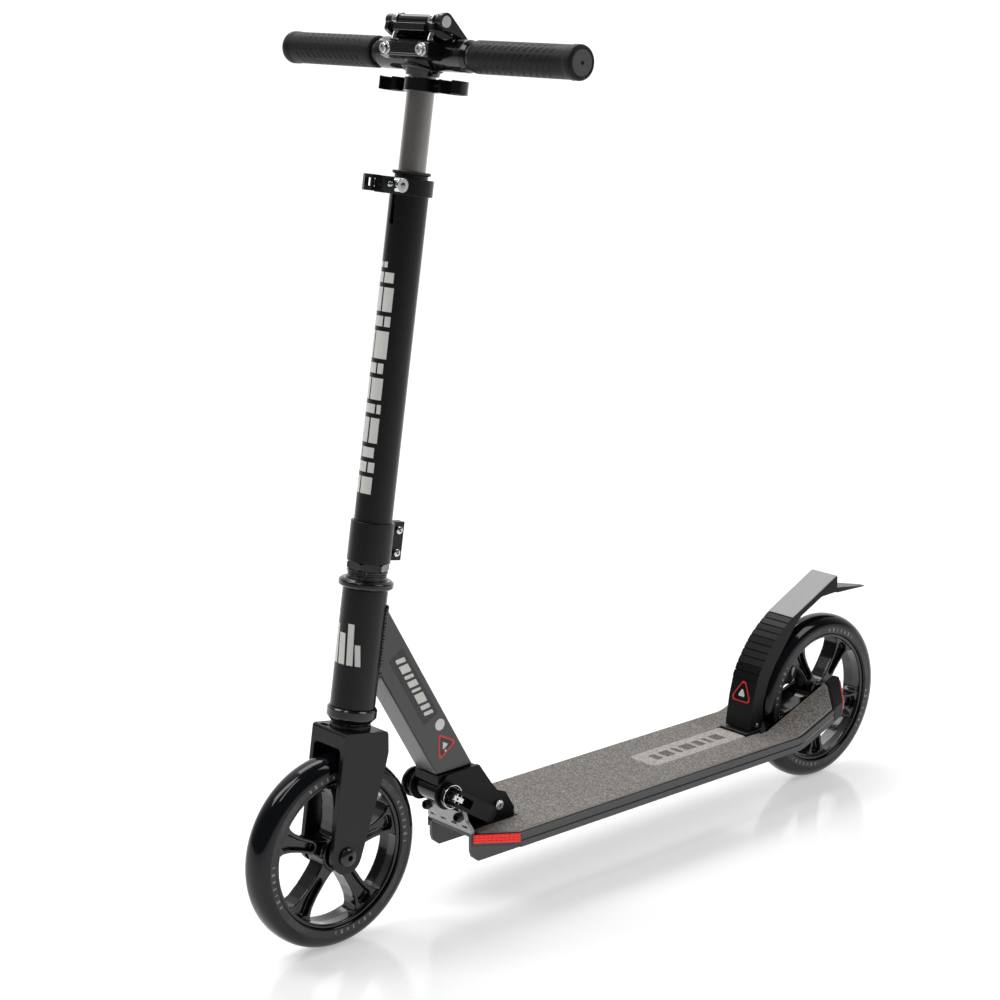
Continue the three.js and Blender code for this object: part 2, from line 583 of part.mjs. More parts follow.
// ---- inner stem and handlebar clamp -------------------------------------------------------
const CRADLE_HALF = 56;
const JAW_HALF = 32;
const LEVER_WIDE = 38;
const CRADLE_R = 14;

function innerStem() {
  const tube = tubeZ(10, INNER_R, INNER_LOW, 700, ROUND);
  return cut(tube, rodX(CRADLE_R + GAP, ...BAR_AXIS, -40, 40, ROUND));
}

function barCradle() {
  const sleeve = turnedX(ring(BAR_R + GAP, CRADLE_R, -CRADLE_HALF, CRADLE_HALF), ...BAR_AXIS, ROUND);
  const socket = tubeZ(INNER_R + GAP, 15.6, 688, 702);
  const nose = slabX([[-24, 703], [-24, 714], [-19, 717.6], [-4, 711.5], [-4, 700.5], [-17, 700.5]],
    -JAW_HALF, JAW_HALF);
  const bore = rodX(BAR_R + GAP, ...BAR_AXIS, -80, 80, ROUND);
  const window = block(-JAW_HALF - GAP, JAW_HALF + GAP, -6, 30, 709, 740);
  const shanks = SIDES.map(([, side]) => shank(side, 3.1));
  return cut(join(sleeve, cut(join(nose, socket), bore)), window, ...shanks);
}

// The straight part of an eye bolt, from the cam down and forward into the cradle.
const SHANK_FOOT = [-20.5, 701];

function shank(side, radius) {
  const dy = SHANK_FOOT[0] - CAM[0];
  const dz = SHANK_FOOT[1] - CAM[1];
  const length = Math.hypot(dy, dz);
  const rod = turnedGeometry(disc(radius, 0, length - 4), 16);
  rod.translate(0, 0, 4).rotateX(Math.atan2(-dy, dz));
  return solid(rod.translate(side * EYE_X, ...CAM));
}

function eyeBolt(side) {
  const [low, high] = span(side, EYE_X - 3, EYE_X + 3);
  const eye = turnedX(ring(4.9, 7, low, high), ...CAM, SMALL);
  const head = cut(shank(side, 2.7), rodX(4.9, ...CAM, -60, 60));
  return join(eye, head);
}

function clampJaw() {
  const seat = circlePoints(...CAM, 5.9, 205, 310, 6);
  const back = circlePoints(...BAR_AXIS, 17.3, 100, 25, 8);
  const under = circlePoints(...BAR_AXIS, CRADLE_R + GAP, 25, 130, 10);
  const shape = [[-21, 731], ...seat, ...back, ...under, [-15, 720.5], [-22, 724.5]];
  const jaw = slabX(shape, -JAW_HALF, JAW_HALF);
  const passages = SIDES.map(([, side]) => block(...span(side, EYE_X - 3.4, EYE_X + 3.4), -23.5, -4, 715, 745));
  const liner = slabX([...circlePoints(...BAR_AXIS, BAR_R + GAP, 35, 145, 10),
    ...circlePoints(...BAR_AXIS, CRADLE_R + 1, 145, 35, 10)], -JAW_HALF + GAP, JAW_HALF - GAP);
  const fit = cut(liner, block(-60, 60, -60, 60, 690, 709.4), block(-60, 60, -60, -5.6, 690, 740));
  return join(cut(jaw, ...passages), fit);
}

function clampLever() {
  const barrel = rodX(5.4, ...CAM, -LEVER_WIDE, LEVER_WIDE, SMALL);
  const grooves = SIDES.map(([, side]) => turnedX(ring(4.55, 8, ...span(side, EYE_X - 3.4, EYE_X + 3.4)),
    ...CAM, SMALL));
  const web = slabX([[-13.5, 738.6], [-5.5, 740], [6, 727.8], [3, 727.2], [-5.9, 731.2], [-9.5, 729]],
    -LEVER_WIDE, JAW_HALF + 2);
  const cheek = slabX([...circlePoints(...CAM, 7.6, 60, 290, 12), [5, 722.8], [18.6, 716.4],
    [19.4, 717.6]], JAW_HALF + 1.5, LEVER_WIDE);
  const slots = SIDES.map(([, side]) => block(...span(side, EYE_X - 3.4, EYE_X + 3.4), -32, 19, 700, 760));
  const pins = SIDES.map(([, side]) => rodX(4.5, ...CAM, ...span(side, EYE_X - 5, EYE_X + 5)));
  const hub = join(cut(barrel, ...grooves), cut(web, ...slots), cheek);
  return join(hub, ...pins);
}

const CLIP_X = 40;
const CLIP_R = 10.9;

function storageClip() {
  const s0 = 674.5;
  const s1 = 686;
  const hoop = tubeZ(INNER_R + GAP, 15.4, s0, s1);
  const clips = SIDES.map(([, side]) => {
    const shape = [...circlePoints(side * CLIP_X, 2, 12.8, -50, 230, 16),
      ...circlePoints(side * CLIP_X, 2, CLIP_R, 230, -50, 16)];
    return slabZ(shape, s0, s1);
  });
  const links = SIDES.map(([, side]) => block(...span(side, 13, CLIP_X - 11.5), 0, 4, s0, s1));
  const bores = [[0, 0, INNER_R + GAP], [CLIP_X, 2, CLIP_R], [-CLIP_X, 2, CLIP_R]].map(([x, y, r]) =>
    solid(turnedGeometry(disc(r, 600, 750), ROUND).translate(x, y, 0)));
  return cut(join(hoop, ...clips, ...links), ...bores);
}

// ---- handlebar halves ---------------------------------------------------------------------
function barTube(side) {
  const [low, high] = span(side, 1, GRIP_OUT - 4);
  return turnedX(ring(BAR_R - 2, BAR_R, low, high), ...BAR_AXIS, ROUND);
}

function grip(side) {
  const half = [[BAR_R + GAP, GRIP_IN], [GRIP_R - 0.8, GRIP_IN], [GRIP_R, GRIP_IN + 2],
    [GRIP_R, GRIP_OUT - 10], [GRIP_FLANGE_R, GRIP_OUT - 9], [GRIP_FLANGE_R, GRIP_OUT - 2.5],
    [GRIP_FLANGE_R - 2.5, GRIP_OUT], [0, GRIP_OUT], [0, GRIP_OUT - 3.6],
    [BAR_R + GAP, GRIP_OUT - 3.6]];
  return turnedX(half.map(([r, x]) => [r, side * x]), ...BAR_AXIS, ROUND);
}

// ---- assembly -----------------------------------------------------------------------------
const scooter = new THREE.Group();
const chassis = new THREE.Group();
chassis.position.y = -WHEELBASE / 2;
scooter.add(chassis);

const steering = new THREE.Group();
steering.position.set(0, AXIS_BACK, WHEEL_R);
steering.rotation.x = -HEAD_ANGLE;
steering.updateMatrix();
chassis.add(steering);

chassis.add(wheel('front', 0, -5.5), wheel('rear', WHEELBASE, -37.5));
chassis.add(part('deck_plate', SATIN_BLACK, deckPlate()));
chassis.add(part('grip_tape', GRIT, gripTape()));
chassis.add(part('front_plate', ALUMINIUM, frontPlate()));
chassis.add(part('fold_bracket', SATIN_BLACK, foldBracket()));
chassis.add(part('fold_pivot_bolt', CHROME, foldPivotBolt()));
chassis.add(part('fold_skewer', CHROME, foldSkewer()));
chassis.add(part('skewer_bush', SATIN_BLACK, skewerBush()));
chassis.add(part('fold_lever', SATIN_BLACK, foldLever()));
chassis.add(part('brake_fender', SATIN_BLACK, brakeFender()));
chassis.add(part('brake_bracket', SATIN_BLACK, brakeBracket()));
chassis.add(part('brake_pin', STEEL, brakePin()));
chassis.add(part('brake_spring', STEEL, brakeSpring()));
chassis.add(part('down_tube', SATIN_BLACK, downTube(steering.matrix)));
chassis.add(part('fold_lug', SATIN_BLACK, foldLug()));

const rearAxle = new THREE.Group();
rearAxle.position.set(0, WHEELBASE, WHEEL_R);
rearAxle.add(part('rear_axle', STEEL, axle(22, 7.5)), part('rear_axle_nut', STEEL, axleNut(22)));
chassis.add(rearAxle);

const frontAxle = new THREE.Group();
frontAxle.position.set(0, ...FORK_AXLE);
frontAxle.add(part('front_axle', STEEL, axle(24, 8.8)), part('front_axle_nut', STEEL, axleNut(24)));
steering.add(frontAxle);

for (const [label, side] of SIDES) {
  chassis.add(part(`arm_cap_${label}`, PLASTIC, armCap(side)));
  chassis.add(part(`front_reflector_${label}`, RED, frontReflector(side)));
  chassis.add(part(`rear_reflector_${label}`, RED, rearReflector(side)));
  chassis.add(part(`rear_dropout_${label}`, SATIN_BLACK, rearDropout(side)));
  steering.add(part(`eye_bolt_${label}`, CHROME, eyeBolt(side)));
  steering.add(part(`bar_${label}`, SATIN_BLACK, barTube(side)));
  steering.add(part(`grip_${label}`, RUBBER, grip(side)));
}

steering.add(part('head_tube', SATIN_BLACK, headTube()));
steering.add(part('lower_cup', GLOSS_BLACK, headCup(HEAD_LOW, -1, 22.2, 14)));
steering.add(part('upper_cup', GLOSS_BLACK, headCup(HEAD_HIGH, 1, 24.4, 11.6)));
steering.add(part('fork', SATIN_BLACK, fork()));
steering.add(part('steerer', STEEL, steerer()));
steering.add(part('head_washer', CHROME, headWasher()));
steering.add(part('lock_nut', GLOSS_BLACK, lockNut()));
steering.add(part('outer_stem', SATIN_BLACK, outerStem()));
steering.add(part('stem_collar', SATIN_BLACK, stemCollar()));
COLLAR_BOLTS.forEach((s, i) => steering.add(part(`collar_bolt_${i + 1}`, CHROME, collarBolt(s))));
steering.add(part('stem_bush', PLASTIC, stemBush()));
steering.add(part('height_clamp', SATIN_BLACK, heightClamp()));
steering.add(part('height_skewer', CHROME, heightSkewer()));
steering.add(part('height_lever', SATIN_BLACK, heightLever()));
steering.add(part('inner_stem', ANODISED, innerStem()));
steering.add(part('bar_cradle', SATIN_BLACK, barCradle()));
steering.add(part('clamp_jaw', SATIN_BLACK, clampJaw()));
steering.add(part('clamp_lever', SATIN_BLACK, clampLever()));
steering.add(part('storage_clip', PLASTIC, storageClip()));

export default scooter;
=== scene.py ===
"""The looks of a folding kick scooter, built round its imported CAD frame.

Shapes are drawn in millimetres in one of four local frames and then placed in the row frame, in
metres: the chassis (y = 0 at the front axle, z up from the ground), the steering (z up the steering
axis from axle height, y backwards), a wheel (x along its axle) and the fold lever.
"""
import json
import math

import bmesh
import bpy
from mathutils import Matrix, Vector


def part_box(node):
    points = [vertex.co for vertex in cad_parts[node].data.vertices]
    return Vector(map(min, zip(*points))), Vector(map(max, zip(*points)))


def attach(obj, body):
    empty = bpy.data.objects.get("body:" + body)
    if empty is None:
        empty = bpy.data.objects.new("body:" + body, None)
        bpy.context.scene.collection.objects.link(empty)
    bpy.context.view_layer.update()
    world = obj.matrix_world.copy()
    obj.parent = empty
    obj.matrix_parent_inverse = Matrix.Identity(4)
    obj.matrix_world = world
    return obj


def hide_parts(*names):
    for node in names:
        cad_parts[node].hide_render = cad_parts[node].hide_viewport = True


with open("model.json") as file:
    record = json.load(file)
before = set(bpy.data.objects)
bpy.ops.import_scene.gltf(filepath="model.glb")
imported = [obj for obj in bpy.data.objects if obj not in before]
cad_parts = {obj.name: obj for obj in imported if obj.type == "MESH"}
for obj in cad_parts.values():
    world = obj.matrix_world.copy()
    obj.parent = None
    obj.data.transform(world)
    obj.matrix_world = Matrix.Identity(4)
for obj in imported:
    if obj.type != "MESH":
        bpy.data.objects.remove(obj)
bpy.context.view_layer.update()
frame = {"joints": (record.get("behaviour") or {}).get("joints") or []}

MM = 0.001
ROUND = 96    # steps round a large turned piece
FINE = 40     # steps round a small one
GAP = 0.3     # between pieces that meet
SNUG = 0.05   # round a tube that a clamp holds
THROUGH = 30  # half the length of a tool that cuts right through
SIDES = (("left", 1), ("right", -1))

# ---- frames ---------------------------------------------------------------------------------
joints = {j["name"]: j for j in frame["joints"]}
FRONT_AXLE = joints["front_wheel_spin"]["pos_m"]
REAR_AXLE = joints["rear_wheel_spin"]["pos_m"]
STEER = joints["steer"]
LEAN = math.atan2(STEER["axis"][1], STEER["axis"][2])
CHASSIS = Matrix.Translation((0, FRONT_AXLE[1], 0)) @ Matrix.Scale(MM, 4)
STEERING = Matrix.Translation(STEER["pos_m"]) @ Matrix.Rotation(-LEAN, 4, "X") @ Matrix.Scale(MM, 4)
WHEELBASE = (REAR_AXLE[1] - FRONT_AXLE[1]) / MM
WHEEL_R = FRONT_AXLE[2] / MM


def in_chassis(joint):
    """Where a joint's point lies in the chassis frame: its (y, z)."""
    _, y, z = joints[joint]["pos_m"]
    return ((y - FRONT_AXLE[1]) / MM, z / MM)


def in_steering(point):
    """Where a point of the row frame lies in the steering frame: its (y, z)."""
    local = STEERING.inverted() @ Vector(point)
    return (local.y, local.z)


FOLD_PIVOT = in_chassis("fold")
SKEWER = in_chassis("fold_lever_swing")
BRAKE_PIVOT = in_chassis("brake_press")
FORK_AXLE = in_steering(FRONT_AXLE)
CAM = in_steering(joints["clamp_lever_swing"]["pos_m"])
HEIGHT_CAM_X = joints["height_lever_swing"]["pos_m"][0] / MM
CLAMP_BOLT_Y = in_steering(joints["height_lever_swing"]["pos_m"])[0]
grip_low, grip_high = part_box("grip_left")
GRIP_IN, GRIP_OUT = grip_low.x / MM, grip_high.x / MM
BAR_AXIS = in_steering((grip_low + grip_high) / 2)
GRIP_R = 14.1
GRIP_FLANGE_R = 14.6
BAR_R = 11

# ---- camera ---------------------------------------------------------------------------------
LENS = 82.5
CAMERA_AZIMUTH = 48.17
CAMERA_ELEVATION = 13.63
CAMERA_DISTANCE = 2.0903
CAMERA_TARGET = Vector((0.0228, -0.1455, 0.3872))


def direction(azimuth, elevation):
    """The unit vector from the object towards a viewer at these angles, in degrees."""
    a, e = math.radians(azimuth), math.radians(elevation)
    return Vector((math.sin(a) * math.cos(e), -math.cos(a) * math.cos(e), math.sin(e)))


def make_camera():
    data = bpy.data.cameras.new("camera")
    data.lens = LENS
    camera = bpy.data.objects.new("camera", data)
    back = direction(CAMERA_AZIMUTH, CAMERA_ELEVATION)
    camera.location = CAMERA_TARGET + back * CAMERA_DISTANCE
    camera.rotation_euler = back.to_track_quat("Z", "Y").to_euler()
    bpy.context.scene.collection.objects.link(camera)
    bpy.context.scene.camera = camera


make_camera()


# ---- outlines -------------------------------------------------------------------------------
def arc(cx, cy, radius, start, stop, steps=14):
    """Points on an arc, its angles in degrees."""
    angles = [math.radians(start + (stop - start) * i / steps) for i in range(steps + 1)]
    return [(cx + radius * math.cos(a), cy + radius * math.sin(a)) for a in angles]


def rounded(corners, steps=5):
    """A closed outline of (a, b) or (a, b, radius) corners, with an arc at each that has a radius."""
    line = []
    for i, (a, b, *radius) in enumerate(corners):
        if not radius:
            line.append((a, b))
            continue
        corner = Vector((a, b))
        before = Vector(corners[i - 1][:2]) - corner
        after = Vector(corners[(i + 1) % len(corners)][:2]) - corner
        half = before.angle(after) / 2
        reach = min(radius[0] / math.tan(half), 0.48 * before.length, 0.48 * after.length)
        start = corner + before.normalized() * reach
        stop = corner + after.normalized() * reach
        for k in range(steps + 1):
            t = k / steps
            weights = ((1 - t) ** 2, 2 * t * (1 - t) * math.sin(half), t * t)
            point = start * weights[0] + corner * weights[1] + stop * weights[2]
            line.append(tuple(point / sum(weights)))
    return line


def rectangle(a0, a1, b0, b1, radius=None):
    corners = [(a0, b0), (a1, b0), (a1, b1), (a0, b1)]
    return rounded([(*c, radius) for c in corners]) if radius else corners


def flipped(outline):
    return [(-corner[0], *corner[1:]) for corner in outline]


def sided(outline, side):
    """An outline drawn for the left side, turned over for the right one."""
    return outline if side > 0 else flipped(outline)


def span(side, a, b):
    """The interval from a to b on the left side, or its mirror image."""
    return (a, b) if side > 0 else (-b, -a)


def hexagonal(radius, centre=(0, 0)):
    return arc(*centre, radius, 0, 300, 5)


# ---- solids ---------------------------------------------------------------------------------
ORDER = {
    "x": lambda a, b, h: (h, a, b),
    "y": lambda a, b, h: (a, h, b),
    "z": lambda a, b, h: (a, b, h),
}


def solid(verts, faces):
    mesh = bpy.data.meshes.new("solid")
    mesh.from_pydata(verts, [], faces)
    shape = bmesh.new()
    shape.from_mesh(mesh)
    bmesh.ops.remove_doubles(shape, verts=shape.verts, dist=1e-4)
    bmesh.ops.dissolve_degenerate(shape, edges=shape.edges, dist=1e-5)
    bmesh.ops.recalc_face_normals(shape, faces=shape.faces)
    shape.to_mesh(mesh)
    shape.free()
    made = bpy.data.objects.new("solid", mesh)
    bpy.context.scene.collection.objects.link(made)
    return made


def prism(outline, low, high, axis="z"):
    """An outline thickened along an axis: (y, z) along x, (x, z) along y or (x, y) along z."""
    n = len(outline)
    verts = [ORDER[axis](a, b, h) for h in (low, high) for a, b in outline]
    sides = [(i, (i + 1) % n, n + (i + 1) % n, n + i) for i in range(n)]
    return solid(verts, [tuple(range(n))[::-1], tuple(range(n, 2 * n)), *sides])


def lathe(profile, axis="z", centre=(0, 0), steps=ROUND):
    """A closed profile of (radius, height) points turned about an axis through centre."""
    n = len(profile)
    verts = []
    for i in range(steps):
        a = math.tau * i / steps
        verts += [ORDER[axis](centre[0] + r * math.cos(a), centre[1] + r * math.sin(a), h)
                  for r, h in profile]
    faces = []
    for i in range(steps):
        here, there = i * n, (i + 1) % steps * n
        faces += [(here + j, here + (j + 1) % n, there + (j + 1) % n, there + j) for j in range(n)]
    return solid(verts, faces)


def rod(radius, low, high, axis="z", centre=(0, 0), edge=0.4, steps=FINE):
    profile = [(0, low), (radius - edge, low), (radius, low + edge), (radius, high - edge),
               (radius - edge, high), (0, high)]
    return lathe(profile, axis, centre, steps)


def tube(inner, outer, low, high, axis="z", centre=(0, 0), edge=0.4, steps=ROUND):
    profile = rounded([(inner, low), (outer, low, edge), (outer, high, edge), (inner, high)], 3)
    return lathe(profile, axis, centre, steps)


def block(x0, x1, y0, y1, z0, z1):
    return prism(rectangle(x0, x1, y0, y1), z0, z1)


def hexagon(radius, low, high, axis="z", centre=(0, 0), chamfer=0.8):
    """A hexagonal prism with turned chamfers, as on a nut or a bolt's head."""
    turned = [(0, low), (radius - chamfer, low), (radius + 0.2, low + chamfer),
              (radius + 0.2, high - chamfer), (radius - chamfer, high), (0, high)]
    return combine("INTERSECT", prism(hexagonal(radius, centre), low, high, axis),
                   [lathe(turned, axis, centre, FINE)])


def moved(made, matrix):
    made.data.transform(matrix)
    return made


def applied(made):
    graph = bpy.context.evaluated_depsgraph_get()
    mesh = bpy.data.meshes.new_from_object(made.evaluated_get(graph))
    made.modifiers.clear()
    made.data = mesh
    return made


def combine(operation, base, others):
    for other in others:
        modifier = base.modifiers.new("part", "BOOLEAN")
        modifier.operation = operation
        modifier.solver = "EXACT"
        modifier.object = other
    applied(base)
    for other in others:
        bpy.data.objects.remove(other)
    return base


def cut(base, *others):
    return combine("DIFFERENCE", base, others)


def join(base, *others):
    return combine("UNION", base, others)


def soften(made, width=0.6, segments=3, angle=32):
    """Rounds the edges that turn more than the angle."""
    shape = bmesh.new()
    shape.from_mesh(made.data)
    bmesh.ops.remove_doubles(shape, verts=shape.verts, dist=0.005)
    bmesh.ops.dissolve_limit(shape, angle_limit=math.radians(0.6), verts=shape.verts,
                             edges=shape.edges)
    shape.to_mesh(made.data)
    shape.free()
    modifier = made.modifiers.new("edges", "BEVEL")
    modifier.width = width
    modifier.segments = segments
    modifier.limit_method = "ANGLE"
    modifier.angle_limit = math.radians(angle)
    return applied(made)


def fused(made, voxel, passes):
    """One cast skin over the whole solid, with soft fillets where its members meet."""
    modifier = made.modifiers.new("skin", "REMESH")
    modifier.mode = "VOXEL"
    modifier.voxel_size = voxel
    modifier = made.modifiers.new("fillets", "SMOOTH")
    modifier.factor = 0.5
    modifier.iterations = passes
    return applied(made)


def bead(path, radius, ripple, pitch, steps=10):
    """A rippled weld bead along a path of points."""
    points = [Vector(p) for p in path]
    verts = []
    faces = []
    travelled = 0.0
    for i, point in enumerate(points):
        ahead = (points[min(i + 1, len(points) - 1)] - points[max(i - 1, 0)]).normalized()
        travelled += (point - points[max(i - 1, 0)]).length
        size = radius + ripple * abs(math.sin(math.pi * travelled / pitch))
        across = ahead.orthogonal().normalized()
        other = ahead.cross(across)
        for k in range(steps):
            a = math.tau * k / steps
            verts.append(point + (across * math.cos(a) + other * math.sin(a)) * size)
    for i in range(len(points) - 1):
        faces += [(i * steps + k, i * steps + (k + 1) % steps, (i + 1) * steps + (k + 1) % steps,
                   (i + 1) * steps + k) for k in range(steps)]
    faces += [tuple(range(steps)), tuple(range((len(points) - 1) * steps, len(points) * steps))]
    return solid(verts, faces)


def boxes(corner_sets):
    """One mesh of many small six-sided blocks, each of four bottom and four top corners."""
    verts = []
    faces = []
    for corners in corner_sets:
        n = len(verts)
        verts += corners
        faces += [(n, n + 3, n + 2, n + 1), (n + 4, n + 5, n + 6, n + 7)]
        faces += [(n + k, n + (k + 1) % 4, n + 4 + (k + 1) % 4, n + 4 + k) for k in range(4)]
    return solid(verts, faces)


def piece(made, name, place, body, slot, look, replaces=(), sharp=36, flat=True):
    """Places a finished solid in the row frame and hands it to its CAD body."""
    made.name = name
    made.data.name = name
    made.data.transform(place)
    made.data.shade_smooth()
    if flat:
        made.data.set_sharp_from_angle(angle=math.radians(sharp))
        modifier = made.modifiers.new("normals", "WEIGHTED_NORMAL")
        modifier.keep_sharp = True
        applied(made)
        made.data.name = name
    made.data.materials.clear()
    made.data.materials.append(look)
    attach(made, body)
    if replaces:
        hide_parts(*replaces)
    return made


def adder(place, body):
    """A short form of piece() for a group in one frame, where most pieces ride on one body."""
    def add(made, name, slot, look, replaces=(), place=place, body=body, **options):
        return piece(made, name, place, body, slot, look, replaces, **options)

    return add


# ---- materials ------------------------------------------------------------------------------
def surface(name, dark, light, rough, metallic=0.0, coat=0.0, mottle=60, grain=900, bump=0.05,
            depth=0.0001, stretch=(1, 1, 1), specular=0.5):
    """A finish whose colour and roughness drift with a coarse noise and whose skin has a fine grain."""
    look = bpy.data.materials.new(name)
    look.use_nodes = True
    nodes, links = look.node_tree.nodes, look.node_tree.links
    shader = nodes["Principled BSDF"]
    shader.inputs["Metallic"].default_value = metallic
    shader.inputs["Specular IOR Level"].default_value = specular
    shader.inputs["Coat Weight"].default_value = coat
    shader.inputs["Coat Roughness"].default_value = 0.05
    coords = nodes.new("ShaderNodeTexCoord")
    mapping = nodes.new("ShaderNodeMapping")
    mapping.inputs["Scale"].default_value = stretch
    links.new(coords.outputs["Object"], mapping.inputs["Vector"])
    coarse = noise(look, mapping, mottle, 4)
    fine = noise(look, mapping, grain, 2)
    colours = nodes.new("ShaderNodeMix")
    colours.data_type = "RGBA"
    colours.inputs["A"].default_value = (*dark, 1)
    colours.inputs["B"].default_value = (*light, 1)
    links.new(coarse.outputs["Fac"], colours.inputs["Factor"])
    links.new(colours.outputs["Result"], shader.inputs["Base Color"])
    links.new(ranged(look, fine.outputs["Fac"], *rough), shader.inputs["Roughness"])
    relief = nodes.new("ShaderNodeBump")
    relief.inputs["Strength"].default_value = bump
    relief.inputs["Distance"].default_value = depth
    links.new(fine.outputs["Fac"], relief.inputs["Height"])
    links.new(relief.outputs["Normal"], shader.inputs["Normal"])
    return look


def noise(look, mapping, scale, detail):
    texture = look.node_tree.nodes.new("ShaderNodeTexNoise")
    texture.inputs["Scale"].default_value = scale
    texture.inputs["Detail"].default_value = detail
    look.node_tree.links.new(mapping.outputs["Vector"], texture.inputs["Vector"])
    return texture


def ranged(look, value, low, high):
    """A noise value spread from low to high."""
    node = look.node_tree.nodes.new("ShaderNodeMapRange")
    node.inputs["From Min"].default_value = 0.3
    node.inputs["From Max"].default_value = 0.7
    node.inputs["To Min"].default_value = low
    node.inputs["To Max"].default_value = high
    look.node_tree.links.new(value, node.inputs["Value"])
    return node.outputs["Result"]


def glowing(look, colour, strength):
    """Gives a finish a little light of its own."""
    inputs = look.node_tree.nodes["Principled BSDF"].inputs
    inputs["Emission Color"].default_value = (*colour, 1)
    inputs["Emission Strength"].default_value = strength


def grit_look(name, ramp, bump):
    """Speckled grit sheet: dark and pale grains of about half a millimetre on a grey-taupe ground."""
    look = surface(name, (0.2, 0.18, 0.165), (0.25, 0.23, 0.215), (0.75, 0.95), mottle=35, grain=900)
    nodes, links = look.node_tree.nodes, look.node_tree.links
    shader = nodes["Principled BSDF"]
    coords = nodes["Texture Coordinate"]
    cells = nodes.new("ShaderNodeTexVoronoi")
    cells.inputs["Scale"].default_value = 1050
    links.new(coords.outputs["Object"], cells.inputs["Vector"])
    grains = nodes.new("ShaderNodeValToRGB")
    for k, (place, value) in enumerate(ramp):
        stop = grains.color_ramp.elements[k] if k < 2 else grains.color_ramp.elements.new(place)
        stop.position = place
        stop.color = (value, value * 0.93, value * 0.87, 1)
    split = nodes.new("ShaderNodeSeparateColor")
    links.new(cells.outputs["Color"], split.inputs["Color"])
    links.new(split.outputs["Red"], grains.inputs["Fac"])
    tint = nodes.new("ShaderNodeMix")
    tint.data_type = "RGBA"
    tint.inputs["Factor"].default_value = 0.8
    links.new(shader.inputs["Base Color"].links[0].from_socket, tint.inputs["A"])
    links.new(grains.outputs["Color"], tint.inputs["B"])
    links.new(tint.outputs["Result"], shader.inputs["Base Color"])
    relief = nodes["Bump"]
    relief.inputs["Strength"].default_value = bump
    relief.inputs["Distance"].default_value = 0.0004
    links.new(cells.outputs["Distance"], relief.inputs["Height"])
    return look


# One satin black paint in three copies that paint light and shade. This lit copy has its specular
# raised so that the faces light falls on come out brighter.
SATIN = surface("satin_black", (0.007, 0.0073, 0.0085), (0.01, 0.0103, 0.012), (0.27, 0.36),
                mottle=40, grain=1500, bump=0.12, specular=0.9)
# Painted shade: a darker, low-specular copy of the satin black for the fold bracket, fold lever, fold
# foot and fender.
SHADED_SATIN = surface("satin_black_painted_shade", (0.005, 0.0052, 0.006), (0.008, 0.0083, 0.0095), (0.26, 0.34),
               mottle=40, grain=1500, bump=0.12, specular=0.16)
# Painted half shade: a dimmer copy of the satin black for the fork, head tube, stem and its clamps.
HALF_SHADED_SATIN = surface("satin_black_half_shade", (0.006, 0.0062, 0.007), (0.009, 0.0093, 0.0105), (0.26, 0.34),
               mottle=40, grain=1500, bump=0.1, specular=0.3)
GLOSS = surface("gloss_black", (0.003, 0.003, 0.0035), (0.005, 0.005, 0.006), (0.1, 0.18), coat=0.2,
                mottle=60, grain=500, bump=0.03)
URETHANE = surface("urethane", (0.003, 0.0035, 0.005), (0.005, 0.0058, 0.008), (0.05, 0.1), mottle=30,
                   grain=260, bump=0.02, specular=0.35)
PRINT = surface("sidewall_print", (0.02, 0.021, 0.023), (0.034, 0.035, 0.038), (0.38, 0.5),
                mottle=300, grain=1800, bump=0.1)
PLASTIC = surface("textured_plastic", (0.009, 0.0093, 0.0105), (0.013, 0.0133, 0.015), (0.4, 0.52),
                  mottle=80, grain=2200, bump=0.3)
RUBBER = surface("grip_rubber", (0.009, 0.009, 0.0095), (0.013, 0.013, 0.0135), (0.42, 0.54),
                 mottle=90, grain=2600, bump=0.25, specular=0.18)
CAP = surface("grip_cap", (0.05, 0.049, 0.049), (0.08, 0.078, 0.078), (0.5, 0.65), mottle=160,
              grain=1800, bump=0.2)
CHROME = surface("chrome", (0.6, 0.61, 0.63), (0.68, 0.69, 0.7), (0.06, 0.13), metallic=1.0,
                 mottle=120, grain=700, bump=0.03)
STEEL = surface("steel", (0.3, 0.3, 0.31), (0.42, 0.42, 0.43), (0.22, 0.36), metallic=1.0,
                mottle=200, grain=1400, bump=0.08, stretch=(0.15, 1, 1))
DARK_STEEL = surface("black_oxide", (0.006, 0.006, 0.0065), (0.011, 0.011, 0.012), (0.14, 0.22),
                     coat=0.2, mottle=200, grain=1400, bump=0.05)
GREY = surface("light_grey_paint", (0.34, 0.34, 0.345), (0.42, 0.42, 0.425), (0.3, 0.42),
               metallic=0.3, mottle=150, grain=1700, bump=0.15)
# Painted highlight: the pedal's top is coloured light grey to stand in for the light that falls on it.
PEDAL_PAINTED_HIGHLIGHT = surface("pedal_painted_highlight", (0.36, 0.36, 0.365), (0.42, 0.42, 0.425), (0.34, 0.44), mottle=60,
                grain=2000, bump=0.2)
ANODISED = surface("anodised", (0.3, 0.29, 0.272), (0.35, 0.338, 0.318), (0.28, 0.32), metallic=0.9,
                   mottle=70, grain=900, bump=0.01)
GLOWING_RED = surface("reflector_red", (0.85, 0.018, 0.012), (0.95, 0.03, 0.02), (0.12, 0.22), coat=0.1,
              mottle=400, grain=800, bump=0.02)
